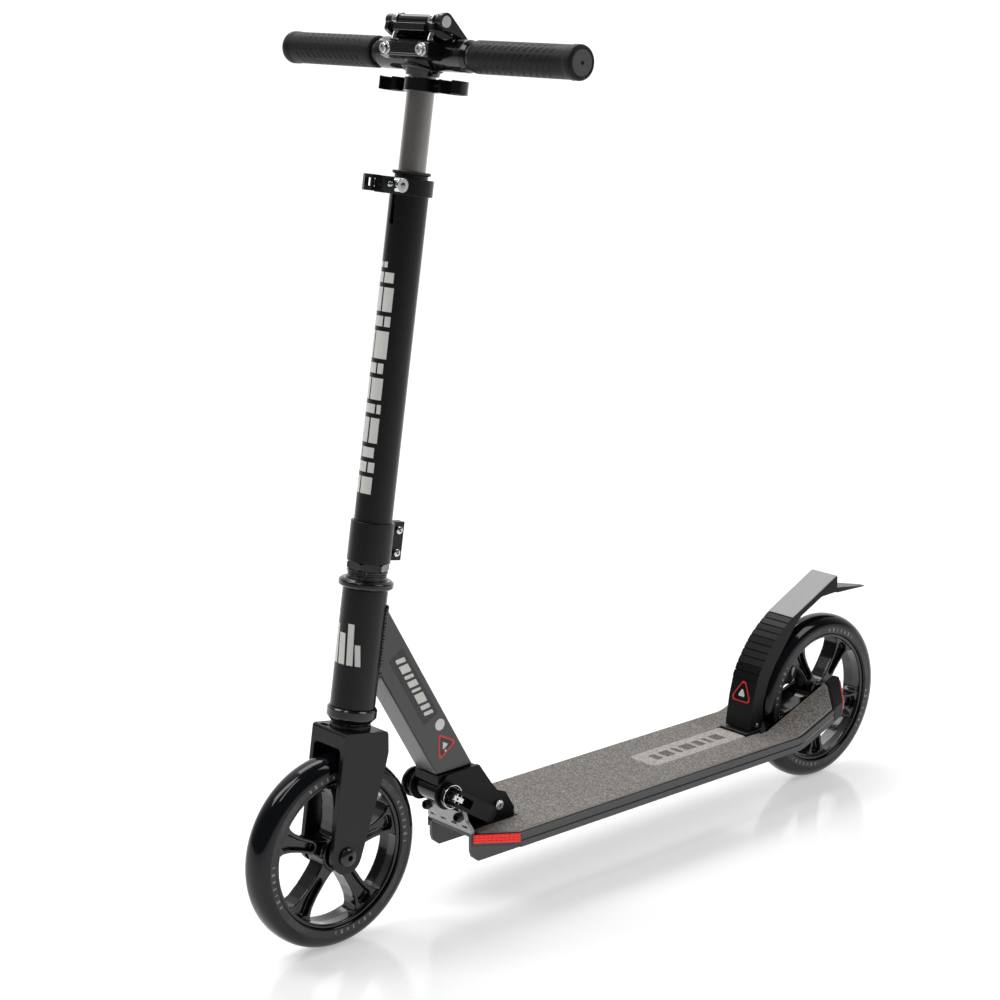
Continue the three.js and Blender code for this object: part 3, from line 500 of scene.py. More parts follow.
# Painted glow: the red reflector lenses are given light of their own, though they are no lamp.
glowing(GLOWING_RED, (1, 0.03, 0.015), 0.22)
DECAL = surface("decal_grey", (0.66, 0.66, 0.63), (0.74, 0.74, 0.7), (0.35, 0.5), mottle=100,
                grain=900, bump=0.03)
MARK = surface("mark_grey", (0.2, 0.2, 0.21), (0.26, 0.26, 0.27), (0.35, 0.5), mottle=100, grain=900)
WHITE = surface("decal_white", (0.7, 0.7, 0.7), (0.78, 0.78, 0.78), (0.3, 0.45), mottle=100,
                grain=900)
LABEL_RED = surface("label_red", (0.6, 0.02, 0.016), (0.68, 0.03, 0.02), (0.3, 0.4), mottle=100,
                    grain=900)
EDGE = surface("tape_border", (0.3, 0.285, 0.265), (0.38, 0.36, 0.34), (0.5, 0.65), mottle=120,
               grain=1500, bump=0.1)
GRIT = grit_look("grit_sheet", [(0.0, 0.09), (1.0, 0.5), (0.3, 0.16), (0.62, 0.26)], 0.35)
PALE_GRIT = grit_look("pale_grit", [(0.0, 0.32), (1.0, 0.8), (0.3, 0.44), (0.62, 0.56)], 0.35)
SHADE_GRIT = grit_look("shade_grit", [(0.0, 0.04), (1.0, 0.3), (0.3, 0.08), (0.62, 0.16)], 0.45)

# ---- wheels ---------------------------------------------------------------------------------
TYRE_HALF = 14.5
RIM_HALF = 12.5
RIM_R = 70
SPOKES = 5
AXLE_R = 4
BEARING_R = 11
REAR_SEAT = 22
FRONT_SEAT = 24


def tyre():
    turn = [math.radians(90 * k / 18) for k in range(19)]
    crown = [(76 + 14 * math.sin(a) ** 0.85, TYRE_HALF * max(math.cos(a), 0) ** 0.85) for a in turn]
    half = [(RIM_R + 0.2, 13), (RIM_R + 1.2, 13.9), (74, 14.4), *crown]
    return lathe([*half, *[(r, -x) for r, x in reversed(half[:-1])]], "x", steps=144)


def sidewall_band(side):
    low, high = span(side, 13.6, TYRE_HALF + 0.12)
    return lathe(rounded([(71.2, low), (77.6, low), (77.6, high, 0.1), (71.2, high, 0.1)]), "x",
                 steps=144)


def sidewall_marks(side):
    """Plain printed ticks round the sidewall: groups of bars, and fields of dots between them."""
    blocks = []
    face = side * (TYRE_HALF + 0.12)

    def tick(angle, inner, outer, width):
        ends = []
        for lift in (0, side * 0.08):
            for r, w in ((inner, -1), (outer, -1), (outer, 1), (inner, 1)):
                a = math.radians(angle) + w * width / 2 / r
                ends.append((face + lift, r * math.cos(a), r * math.sin(a)))
        blocks.append(ends)

    for group in range(4):
        for k in range(7):
            tick(90 * group + 5.2 * k, 72.6, 75.6 + 0.7 * (k % 2), 1.1 + 1.3 * (k * 3 % 4) / 3)
        for row in range(5):
            for k in range(12 - row):
                tick(90 * group + 44 + 2.1 * k + 1.05 * (row % 2), 72.2 + 1.05 * row,
                     72.75 + 1.05 * row, 0.55)
    return boxes(blocks)


def spoke(index):
    """One spoke with its pocket on both faces, widening into the rim and the hub."""
    flank = [(9.5, 12), (7, 19), (6.4, 28), (6.9, 42), (8.6, 53), (11.5, 60), (16.5, 65), (25, 68)]
    beam = prism([*flank, *reversed(flipped(flank))], -9.2, 9.2, "x")
    hollow = rounded([(3.2, 27, 3), (3.9, 42), (5.3, 53), (7.6, 61, 3), (4, 64.5, 4), (-4, 64.5, 4),
                      (-7.6, 61, 3), (-5.3, 53), (-3.9, 42), (-3.2, 27, 3)])
    cut(beam, prism(hollow, 3.6, 10, "x"), prism(hollow, -10, -3.6, "x"))
    return moved(beam, Matrix.Rotation(math.tau * index / SPOKES, 4, "X"))


def rim():
    band = lathe(rounded([(65.8, -RIM_HALF, 1.5), (RIM_R, -RIM_HALF), (RIM_R, RIM_HALF),
                          (65.8, RIM_HALF, 1.5), (67, 0)]), "x", steps=144)
    hub = rod(17.5, -RIM_HALF, RIM_HALF, "x", edge=1.2)
    body = join(band, hub, *[spoke(k) for k in range(SPOKES)])
    fused(body, 0.75, 6)
    bores = [rod(BEARING_R, *span(side, 5, 14), "x", edge=0) for _, side in SIDES]
    return cut(body, rod(7, -20, 20, "x", edge=0), *bores)


def bearing(side):
    """A shielded ball bearing: its two races and the recessed shield between them."""
    low, high = span(side, 5.6, 11.4)
    face, step = (high, -0.5) if side > 0 else (low, 0.5)
    back = low if side > 0 else high
    return lathe([(4.2, back), (BEARING_R - 0.1, back), (BEARING_R - 0.1, face), (9.4, face),
                  (9.4, face + step), (6.2, face + step), (6.2, face), (4.2, face)], "x")


def axle(seat, head_r):
    """A through bolt with spacers against the bearings and a domed head with a hexagon socket."""
    dome = [(head_r * math.cos(a), seat + 1.4 + 3.4 * math.sin(a)) for a in
            [math.radians(8 * k) for k in range(10)]]
    profile = [(0, -seat - 5.5), (AXLE_R - 0.5, -seat - 5.5), (AXLE_R, -seat - 5),
               (AXLE_R, -seat + 5.3), (6.5, -seat + 5.3), (6.5, -11.6), (AXLE_R, -11.6),
               (AXLE_R, 11.6), (6.5, 11.6), (6.5, seat - 5.3), (AXLE_R, seat - 5.3),
               (AXLE_R, seat + GAP), (head_r, seat + GAP), *dome, (0, seat + 4.8)]
    body = lathe(profile, "x", steps=48)
    return soften(cut(body, prism(hexagonal(2.9), seat + 1.5, seat + 8, "x")), 0.25, 2, 50)


def axle_nut(seat):
    body = hexagon(7.4, -seat - 5, -seat - GAP, "x")
    return cut(body, rod(AXLE_R + 0.05, -seat - 8, -seat + 3, "x", edge=0))


def wheel(prefix, point, phase):
    place = Matrix.Translation(point) @ Matrix.Rotation(math.radians(phase), 4, "X")
    place = place @ Matrix.Scale(MM, 4)
    body = f"{prefix}_wheel"
    piece(tyre(), f"{prefix}_tyre_skin", place, body, "urethane", URETHANE, [f"{prefix}_tyre"])
    piece(rim(), f"{prefix}_rim_casting", place, body, "gloss_black", GLOSS, [f"{prefix}_rim"],
          flat=False)
    for label, side in SIDES:
        piece(sidewall_band(side), f"{prefix}_band_{label}", place, body, "urethane", PRINT)
        piece(sidewall_marks(side), f"{prefix}_marks_{label}", place, body, "urethane", MARK)
        piece(bearing(side), f"{prefix}_race_{label}", place, body, "steel", STEEL,
              [f"{prefix}_bearing_{label}"])


def wheels():
    wheel("front", FRONT_AXLE, -5.5)
    wheel("rear", REAR_AXLE, -37.5)
    rear = Matrix.Translation(REAR_AXLE) @ Matrix.Scale(MM, 4)
    piece(axle(REAR_SEAT, 7.5), "rear_axle_bolt", rear, "deck", "steel", DARK_STEEL, ["rear_axle"])
    piece(axle_nut(REAR_SEAT), "rear_axle_hex", rear, "deck", "steel", DARK_STEEL, ["rear_axle_nut"])
    fork_place = STEERING @ Matrix.Translation((0, *FORK_AXLE))
    piece(axle(FRONT_SEAT, 8.8), "front_axle_bolt", fork_place, "steering", "steel", DARK_STEEL,
          ["front_axle"])
    piece(axle_nut(FRONT_SEAT), "front_axle_hex", fork_place, "steering", "steel", DARK_STEEL,
          ["front_axle_nut"])


# ---- deck -----------------------------------------------------------------------------------
DECK_TOP = 75
DECK_HALF = 57.8
DECK_SKIN = 3
RAIL_BOTTOM = 61
RIB_BOTTOM = 46.5
TAPE_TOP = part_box("grip_tape")[0].z / MM + 0.8
DECK_FRONT = 141
FRONT_HALF = 30
CHAMFER_END = 179
RAIL_START = CHAMFER_END - 0.5
ARM_IN = 25
ARM_START = 541
ARM_END = 648
ARM_BEYOND = 655
SLOT_START = 556
ARM_RISE = 0.37
ARM_BEND_Y = 552.6
ARM_BEND_SKEW = 0.78
ARM_BEND_SOFT = 8
ARM_BEND_X = 28


def arm_rise(x, y):
    """How far the rear arms rise above the flat deck: a fold along a skewed, softly rounded line."""
    past = y - ARM_BEND_Y - (abs(x) - ARM_BEND_X) * ARM_BEND_SKEW
    if past < -ARM_BEND_SOFT:
        return 0
    if past > ARM_BEND_SOFT:
        return ARM_RISE * past
    return ARM_RISE * (past + ARM_BEND_SOFT) ** 2 / (4 * ARM_BEND_SOFT)


def bent(made):
    """Cuts an arm piece into strips along the fold line, and raises it."""
    shape = bmesh.new()
    shape.from_mesh(made.data)
    for x in (-ARM_IN, ARM_IN):
        everything = [*shape.verts, *shape.edges, *shape.faces]
        bmesh.ops.bisect_plane(shape, geom=everything, plane_co=(x, 0, 0), plane_no=(1, 0, 0))
    for side in (1, -1):
        for k in range(9):
            past = ARM_BEND_SOFT * (k - 4) / 4
            faces = [f for f in shape.faces if f.calc_center_median().x * side > ARM_IN]
            reach = [*faces, *{e for f in faces for e in f.edges}, *{v for f in faces for v in f.verts}]
            bmesh.ops.bisect_plane(shape, geom=reach, plane_no=(-side * ARM_BEND_SKEW, 1, 0),
                                   plane_co=(side * ARM_BEND_X, ARM_BEND_Y + past, 0))
    for v in shape.verts:
        if abs(v.co.x) >= ARM_IN - 0.01 and v.co.y > ARM_START:
            v.co.z += arm_rise(v.co.x, v.co.y)
    shape.to_mesh(made.data)
    shape.free()
    return made


def mirrored(half):
    """A plan outline closed by its mirror image across the middle of the deck."""
    return [*half, *reversed(flipped(half))]


def arm_cutter(side, inset):
    """What cuts an arm, or the tape on it, to its slanting end."""
    end = ARM_END - inset
    beyond = [(ARM_IN - 5, 700), (ARM_IN - 5, end), (31.2 - inset * 0.3, end),
              (DECK_HALF + 5, 622 - inset * 1.3), (DECK_HALF + 5, 700)]
    return prism(sided(beyond, side), 40, 160)


def rail_profile(side):
    """The extrusion's outer wall in (x, z), with the groove along its outside."""
    wall = [(DECK_HALF - 3.4, DECK_TOP - 1), (DECK_HALF - 3.4, RAIL_BOTTOM), (DECK_HALF, RAIL_BOTTOM),
            (DECK_HALF, 66.8), (DECK_HALF - 1, 67.4), (DECK_HALF - 1, 69.6), (DECK_HALF, 70.2),
            (DECK_HALF, DECK_TOP - 1)]
    return sided(wall, side)


def rear_arm(side):
    """One raised arm: a channel with the grooved outer wall and a shallow inner one."""
    plan = [(ARM_IN, ARM_START), (DECK_HALF - 4, ARM_START), (DECK_HALF - 4, RAIL_START),
            (DECK_HALF, RAIL_START), (DECK_HALF, ARM_BEYOND), (ARM_IN, ARM_BEYOND)]
    skin = prism(sided(plan, side), DECK_TOP - DECK_SKIN, DECK_TOP)
    wall = prism(rail_profile(side), RAIL_START, ARM_BEYOND, "y")
    inner = block(*span(side, ARM_IN, ARM_IN + 2.8), ARM_START, ARM_BEYOND, RAIL_BOTTOM + 3,
                  DECK_TOP - 1)
    return bent(cut(join(skin, wall, inner), arm_cutter(side, 0)))


def deck_plate():
    """The extrusion: a flat skin on two ribs and two grooved rails that run on into the arms."""
    edge = DECK_HALF - 3
    plan = mirrored([(FRONT_HALF, DECK_FRONT), (DECK_HALF, CHAMFER_END), (edge, CHAMFER_END + 0.5),
                     (edge, ARM_START + 3), (ARM_IN, ARM_START + 3), (ARM_IN, SLOT_START)])
    skin = prism(plan, DECK_TOP - DECK_SKIN, DECK_TOP)
    rib = [(DECK_FRONT, DECK_TOP - 1), (DECK_FRONT, 58), (143, 52), (150, RIB_BOTTOM),
           (520, RIB_BOTTOM), (553, 60), (553, DECK_TOP - 1)]
    members = []
    for _, side in SIDES:
        wall = [(FRONT_HALF, DECK_FRONT), (DECK_HALF, CHAMFER_END), (DECK_HALF - 3, CHAMFER_END + 1),
                (FRONT_HALF - 1, DECK_FRONT + 3.5)]
        members += [
            prism(rib, *span(side, 26.6, FRONT_HALF), "x"),
            prism(sided(wall, side), RAIL_BOTTOM + 2, DECK_TOP - 1),
            rear_arm(side),
        ]
    return soften(join(skin, *members), 0.5, 2)


def tape_sheet(inset, low, high):
    """The grip tape's plan with its two rear strips, bent over the arms."""
    side = DECK_HALF - inset
    slope = (CHAMFER_END - DECK_FRONT) / (DECK_HALF - FRONT_HALF)
    front = DECK_FRONT + inset
    half = [(19, 204 + inset), (22 + inset, 204 + inset, 1), (22 + inset, 146 + inset, 1),
            (FRONT_HALF + 3, 146 + inset, 1), (side, front + (side - FRONT_HALF) * slope, 2),
            (side, ARM_BEYOND), (ARM_IN + inset - 1, ARM_BEYOND), (ARM_IN + inset - 1, SLOT_START, 0.6),
            (23.4, SLOT_START - inset - 3, 0.6)]
    sheet = prism(rounded(mirrored(half)), low, high)
    cut(sheet, *[arm_cutter(side, inset) for _, side in SIDES],
        block(-20.5, 20.5, 531 - inset / 2, 570, 70, 90))
    return bent(sheet)


def tape_badge():
    """The pale rounded panel of the tape in front of the brake, with plain dark bars on it."""
    panel = prism(rounded([(-18.5, 396, 7), (18.5, 396, 7), (18.5, 531, 1), (-18.5, 531, 1)]),
                  TAPE_TOP - 0.4, TAPE_TOP + 0.06)
    bars = [prism(rectangle(-7.5, 7.5, y, y + width, 2), TAPE_TOP - 0.3, TAPE_TOP + 0.11)
            for y, width in ((412, 9), (426, 13), (444, 6), (455, 15), (475, 9), (489, 6), (500, 13))]
    return panel, join(*bars)


def arm_cap(side):
    corners = [(ARM_IN, ARM_END + GAP, 0.5), (31.2, ARM_END + GAP), (DECK_HALF, 626 + GAP, 0.5),
               (DECK_HALF, 640, 2), (31.5, 664, 3), (ARM_IN, 661, 1)]
    cap = prism(rounded(sided(corners, side)), RAIL_BOTTOM, DECK_TOP + 1)
    return bent(soften(cap, 0.8, 3))


def reflector(side, start, stop, low, high, lift):
    """A faceted lens on a plan edge from start to stop: a thin plate with rows of raised diamonds."""
    x0, y0 = start
    x1, y1 = stop
    length = math.hypot(x1 - x0, y1 - y0)
    along = Vector(((x1 - x0) / length, (y1 - y0) / length, 0))
    out = Vector((along.y, -along.x, 0)) * math.copysign(1, lift)
    columns, rows = round(length / 4), round((high - low) / 2.8)
    plate, facet = abs(lift) - 0.6, 0.6
    verts = []
    faces = []
    origin = Vector((x0, y0, low))

    def at(u, v, w):
        return origin + along * u + Vector((0, 0, v)) + out * w

    for i in range(columns + 1):
        for j in range(rows + 1):
            verts.append(at(length * i / columns, (high - low) * j / rows, plate))
    for i in range(columns):
        for j in range(rows):
            tip = len(verts)
            verts.append(at(length * (i + 0.5) / columns, (high - low) * (j + 0.5) / rows,
                            plate + facet))
            ring = [i * (rows + 1) + j, (i + 1) * (rows + 1) + j, (i + 1) * (rows + 1) + j + 1,
                    i * (rows + 1) + j + 1]
            faces += [(ring[k], ring[(k + 1) % 4], tip) for k in range(4)]
    edge = [i * (rows + 1) for i in range(columns + 1)]
    edge += [columns * (rows + 1) + j for j in range(1, rows + 1)]
    edge += [i * (rows + 1) + rows for i in range(columns - 1, -1, -1)]
    edge += list(range(rows - 1, 0, -1))
    base = len(verts)
    verts += [verts[k] - out * plate for k in edge]
    n = len(edge)
    faces += [(edge[k], edge[(k + 1) % n], base + (k + 1) % n, base + k) for k in range(n)]
    faces.append(tuple(range(base, base + n)))
    if side < 0:
        verts = [Vector((-v.x, v.y, v.z)) for v in verts]
    return solid(verts, faces)


def lens_end(side):
    """The black end of the front reflector's frame."""
    plan = [(31, 141.6), (31.55, 142.35), (32.75, 141.5), (32.2, 140.7)]
    return soften(prism(sided(plan, side), 66, 75.3), 0.3, 2)


def dropout(side):
    """The plate inside an arm that carries the rear axle."""
    nose = arc(WHEELBASE, WHEEL_R, 13.5, -60, 90, 12)
    plate = prism([(500, 50), (560, 62), (600, 66), *nose, (620, 92), (578, 80), (556.6, 71.5),
                   (500, 71.5)], *span(side, 18, 22), "x")
    bore = rod(AXLE_R + GAP, *span(side, 10, 30), "x", (WHEELBASE, WHEEL_R), 0)
    return soften(cut(plate, bore), 0.5)


def deck():
    add = adder(CHASSIS, "deck")
    add(deck_plate(), "deck_extrusion", "black_aluminium", SATIN, ["deck_plate"])
    add(tape_sheet(2.4, DECK_TOP + 0.03, TAPE_TOP - 0.3), "tape_border", "grit", EDGE)
    add(tape_sheet(3.6, DECK_TOP + 0.1, TAPE_TOP), "tape_grit", "grit", GRIT, ["grip_tape"])
    panel, bars = tape_badge()
    add(panel, "tape_panel", "grit", PALE_GRIT)
    add(bars, "tape_panel_bars", "grit", SHADE_GRIT)
    for label, side in SIDES:
        add(arm_cap(side), f"arm_end_{label}", "plastic", PLASTIC, [f"arm_cap_{label}"])
        # Both kinds of lens use the red finish with its painted glow.
        add(reflector(side, (31.6, 142.4), (57.6, 178), 66.5, 75, 1.4), f"front_lens_{label}", "red",
            GLOWING_RED, [f"front_reflector_{label}"], sharp=10)
        add(lens_end(side), f"front_lens_end_{label}", "plastic", PLASTIC)
        add(bent(reflector(side, (33.4, 662.8), (55.4, 642.7), 64, 73.5, -1.4)), f"rear_lens_{label}",
            "red", GLOWING_RED, [f"rear_reflector_{label}"], sharp=10)
        add(dropout(side), f"dropout_{label}", "satin_black", SATIN, [f"rear_dropout_{label}"])


# ---- folding joint --------------------------------------------------------------------------
PLATE_BOLT = (22.5, 133.6, 91.5)
PLATE_LEAN = math.atan2(7, 22)
LEVER_TIP = (162, 91)
LEVER_HALF = 8
LEVER_PIN_X = joints["fold_lever_swing"]["pos_m"][0] / MM
CUP_R = 11.5
CUP_FLOOR_X = 25.3
CUP_RIM_X = 27
LOBE_R = 4.6
BUSH_R = 9.6
CHEEK_IN = 17
CHEEK_OUT = 20
BESIDE_CHEEK = CHEEK_OUT + GAP
LUG_HALF = CHEEK_IN - 0.4
BUSH_END = CHEEK_IN - 0.2


def plate_bolt_place(side):
    """The frame of a front plate bolt, whose z runs out of the leaning plate towards the front."""
    turn = Matrix.Rotation(math.pi / 2 - PLATE_LEAN, 4, "X")
    return Matrix.Translation((side * PLATE_BOLT[0], *PLATE_BOLT[1:])) @ turn


def front_plate():
    """The leaning guard in front of the folding joint, narrower above, with four slots and a notch."""
    side_view = [(140.6, 75.5), (140.6, 77), (132.8, 101.4), (136.8, 102.2), (144.2, 78), (144.2, 75.5)]
    front = rounded([(31, 74), (31, 80, 3), (26.5, 88, 4), (26.5, 110), (-26.5, 110), (-26.5, 88, 4),
                     (-31, 80, 3), (-31, 74)])
    face = combine("INTERSECT", prism(side_view, -31, 31, "x"), [prism(front, 120, 160, "y")])
    slots = [prism(rectangle(x - 4, x + 4, 80, 82.4, 1.1), 120, 160, "y") for x in (-23, -7.5, 7.5, 23)]
    notch = prism(rectangle(-20.6, 20.6, 96.5, 110), 120, 160, "y")
    return soften(cut(face, notch, *slots), 0.5)


def socket_screw(radius, height, socket):
    """A knurled cylinder-head screw standing on z = 0, with its shank below."""
    ridges = 26
    outline = []
    for k in range(2 * ridges):
        r = radius - (0.25 if k % 2 else 0)
        outline.append((r * math.cos(math.pi * k / ridges), r * math.sin(math.pi * k / ridges)))
    head = join(prism(outline, 0.3, height - 1), rod(radius - 0.2, 0, height, edge=0.6),
                rod(2.3, -8, 1, edge=0.2))
    return cut(head, prism(hexagonal(socket), height - 2.6, height + 2))


def fold_bracket():
    """Two cheeks on a base, bored for the pivot bolt and the skewer."""
    nose = arc(*SKEWER, 14, 140, 262, 16)
    rear = [(168, 79, 1), (203, 79, 1), (204.5, 83, 2), (193, 102, 3), (181, 107, 6), (160, 137, 3),
            (121, 135.5, 4)]
    cheek = rounded([*nose, (132, 101.8), *rear])
    bores = [rod(AXLE_R + GAP, -THROUGH, THROUGH, "x", centre, 0) for centre in (FOLD_PIVOT, SKEWER)]
    base = block(-CHEEK_OUT, CHEEK_OUT, 168, 204, DECK_TOP + 0.35, 79.2)
    body = join(base, *[prism(cheek, *span(side, CHEEK_IN, CHEEK_OUT), "x") for _, side in SIDES])
    return soften(cut(body, *bores), 0.6)


def fold_lug():
    """The foot block, hollowed round the skewer's bush so that it lifts off as the frame folds."""
    toe = arc(*FOLD_PIVOT, 10.5, -100, 50, 12)
    hollow = arc(*SKEWER, BUSH_R + 0.5, 128, -12, 14)
    body = prism([(112.8, 135.7), (112.8, 126.5), *hollow, (130.6, 110), (133, 103), (150, 92),
                  (170, 82), *toe, (160, 135.7)], -LUG_HALF, LUG_HALF, "x")
    return soften(cut(body, rod(AXLE_R + GAP, -THROUGH, THROUGH, "x", FOLD_PIVOT, 0),
                      block(-30, 30, 100, 143.5, 60, 100)), 0.7)


def fold_pivot_bolt():
    body = lathe(rounded([(0, -24), (6.5, -24, 0.6), (6.5, -BESIDE_CHEEK), (AXLE_R, -BESIDE_CHEEK),
                          (AXLE_R, BESIDE_CHEEK), (5, BESIDE_CHEEK), (5, 22.4, 1.2), (0, 22.4)]),
                 "x", FOLD_PIVOT, 48)
    return cut(body, prism(hexagonal(2, FOLD_PIVOT), 21.4, 24, "x"))


def lever_frame(run):
    """The fold lever's own frame: x along it, y outwards from the deck and z across it."""
    along = run.normalized()
    across = along.cross(Vector((1, 0, 0)))
    return Matrix(((0, 1, 0, 0), (along.y, 0, across.y, SKEWER[0]),
                   (along.z, 0, across.z, SKEWER[1]), (0, 0, 0, 1)))


LEVER_RUN = Vector((0, LEVER_TIP[0] - SKEWER[0], LEVER_TIP[1] - SKEWER[1]))
LEVER_REACH = LEVER_RUN.length
LEVER_FRAME = lever_frame(LEVER_RUN)


def fold_lever():
    low, high = CUP_RIM_X + GAP, LEVER_PIN_X + LOBE_R
    end = LEVER_REACH + LEVER_HALF
    side_view = [*arc(0, LEVER_PIN_X, LOBE_R, 90, 270, 12), (4, low), (end - 2, low), (end, low + 2.5),
                 (end, high - 2.5), (LEVER_REACH, high), (26, high - 0.5)]
    plan = rounded([(-8, -LEVER_HALF), (-8, LEVER_HALF), (LEVER_REACH, LEVER_HALF, 5),
                    (end, LEVER_HALF - 2, 6), (end, 2 - LEVER_HALF, 6), (LEVER_REACH, -LEVER_HALF, 5)])
    body = combine("INTERSECT", prism(side_view, -LEVER_HALF, LEVER_HALF),
                   [prism(plan, 20, 40, "y")])
    slot = prism(rounded([(-20, -4.4), (20, -4.4, 1.5), (20, 4.4, 1.5), (-20, 4.4)]), 20, 40, "y")
    return moved(soften(cut(body, slot, rod(2.1, -9, 9, "z", (0, LEVER_PIN_X), 0)), 0.7), LEVER_FRAME)


def skewer_rod():
    """The skewer with its far nut and, under the lever, the flat bar that holds the lever's pin."""
    shaft = lathe(rounded([(0, -40), (6, -40, 1), (6, -31.4), (3.8, -31.4), (3.8, LEVER_PIN_X),
                           (0, LEVER_PIN_X)]), "x", SKEWER, 48)
    bar = prism(rounded([(-5, 28, 1), (9, 28, 1), (10, 29.5, 1), (10, 32, 1), (8.5, 33, 1), (-4, 33, 1),
                         (-5, 32, 1)]), -2.6, 2.6)
    pin = rod(1.9, -8.3, 8.3, "z", (0, LEVER_PIN_X), 0.3)
    hole = rod(1.1, 27, 34, "y", (1, 0), 0)
    return join(shaft, moved(soften(cut(bar, hole), 0.5), LEVER_FRAME), moved(pin, LEVER_FRAME))


def cam_cup():
    """The cup that the lever's cam presses on."""
    return lathe(rounded([(4, BESIDE_CHEEK), (9.5, BESIDE_CHEEK, 1), (CUP_R, 22.4, 1),
                          (CUP_R, CUP_RIM_X, 0.6),
                          (CUP_R - 1.3, CUP_RIM_X, 0.3), (CUP_R - 1.3, CUP_FLOOR_X, 0.6),
                          (4, CUP_FLOOR_X)]), "x", SKEWER)


def cup_rim():
    """The turned bright edge of the cup."""
    return lathe(rounded([(CUP_R - 1, CUP_RIM_X - 0.6), (CUP_R - 0.2, CUP_RIM_X - 0.6),
                          (CUP_R - 0.2, CUP_RIM_X + 0.12, 0.1), (CUP_R - 1, CUP_RIM_X + 0.12, 0.1)]),
                 "x", SKEWER)


def skewer_bush():
    return lathe(rounded([(4.2, -31), (14.5, -31, 1.2), (14.5, -27.5, 1.2), (BUSH_R, -27.5, 0.8),
                          (BUSH_R, BUSH_END, 0.6), (4.2, BUSH_END)]), "x", SKEWER)


def folding_joint():
    add = adder(CHASSIS, "deck")
    add(front_plate(), "front_guard", "light_grey", GREY, ["front_plate"])
    for label, side in SIDES:
        add(socket_screw(4.6, 5, 2.6), f"guard_screw_{label}", "satin_black", DARK_STEEL,
            place=CHASSIS @ plate_bolt_place(side))
    add(fold_bracket(), "fold_cheeks", "satin_black", SHADED_SATIN, ["fold_bracket"])
    add(fold_pivot_bolt(), "fold_pivot_pin", "chrome", CHROME, ["fold_pivot_bolt"])
    add(skewer_rod(), "skewer_rod", "chrome", CHROME, ["fold_skewer"])
    add(cam_cup(), "skewer_cup", "satin_black", DARK_STEEL)
    add(cup_rim(), "skewer_cup_rim", "chrome", CHROME)
    add(skewer_bush(), "skewer_flange", "satin_black", GLOSS, ["skewer_bush"])
    add(fold_lever(), "fold_handle", "black_aluminium", SHADED_SATIN, ["fold_lever"], body="fold_cam")
    add(fold_lug(), "fold_foot", "black_aluminium", SHADED_SATIN, ["fold_lug"], body="front_frame")


# ---- front frame ----------------------------------------------------------------------------
HEAD_LOW = 131
HEAD_HIGH = 239
HEAD_R = 20.3
TUBE_HALF = 15.5
TO_STEERING = STEERING.inverted() @ CHASSIS
TO_CHASSIS = CHASSIS.inverted() @ STEERING
TUBE_UNDER = ((40.5, 259.6), (112.8, 136))
TUBE_OVER = ((51.8, 316), (157, 136))


def down_tube():
    """The square tube from the foot block up to the head tube, round which its top is cut."""
    outside = prism([(30, 277.6), *TUBE_UNDER, *reversed(TUBE_OVER), (30, 353.3)],
                    -TUBE_HALF, TUBE_HALF, "x")
    soften(outside, 2.4, 4)
    head = moved(rod(HEAD_R + 0.05, 90, 330, "z", edge=0, steps=ROUND), TO_CHASSIS)
    return cut(outside, head, block(-40, 40, -60, 33, 200, 420))


def crossing(line, y):
    """The steering-frame height at which a chassis line of the down tube passes y."""
    (y0, z0), (y1, z1) = [(TO_STEERING @ Vector((0, *p))).yz for p in line]
    return z0 + (z1 - z0) * (y - y0) / (y1 - y0)


def head_weld():
    """The weld round the foot of the head tube's joint with the down tube."""
    reach = math.sqrt(HEAD_R ** 2 - TUBE_HALF ** 2)
    low, high = crossing(TUBE_UNDER, reach), crossing(TUBE_OVER, reach)
    path = []
    for k in range(60):
        path.append((TUBE_HALF + 0.5, reach + 0.3, low + (high - low) * k / 59))
    for k in range(1, 30):
        x = TUBE_HALF * (1 - 2 * k / 29)
        y = math.sqrt(HEAD_R ** 2 - x * x)
        path.append((x, y + 0.3, crossing(TUBE_OVER, y) + 0.5))
    for k in range(60):
        path.append((-TUBE_HALF - 0.5, reach + 0.3, high + (low - high) * k / 59))
    for k in range(1, 30):
        x = -TUBE_HALF * (1 - 2 * k / 29)
        y = math.sqrt(HEAD_R ** 2 - x * x)
        path.append((x, y + 0.3, crossing(TUBE_UNDER, y) - 0.5))
    for _ in range(8):
        path = [tuple((Vector(path[k - 1]) + Vector(p) + Vector(path[(k + 1) % len(path)])) / 3)
                for k, p in enumerate(path)]
    return bead(path, 1.8, 0.6, 2.8)


def wrapped(start, stop, radius, low, high, lean=0.0, thick=0.12):
    """A thin label on a cylinder, from the angle start to stop, in degrees, and from low to high."""
    columns, rows = 12, 6
    verts = []
    for r in (radius + 0.02, radius + thick):
        for j in range(rows + 1):
            h = low + (high - low) * j / rows
            for i in range(columns + 1):
                a = math.radians(start + (stop - start) * i / columns + lean * j / rows)
                verts.append((r * math.sin(a), -r * math.cos(a), h))
    wide = columns + 1
    layer = wide * (rows + 1)
    faces = []
    for base in (0, layer):
        faces += [(base + j * wide + i, base + j * wide + i + 1, base + (j + 1) * wide + i + 1,
                   base + (j + 1) * wide + i) for j in range(rows) for i in range(columns)]
    rim_line = [*range(wide), *[(j + 1) * wide - 1 for j in range(1, rows + 1)],
                *[rows * wide + i for i in range(columns - 1, -1, -1)],
                *[j * wide for j in range(rows - 1, 0, -1)]]
    n = len(rim_line)
    faces += [(rim_line[k], rim_line[(k + 1) % n], layer + rim_line[(k + 1) % n], layer + rim_line[k])
              for k in range(n)]
    return solid(verts, faces)


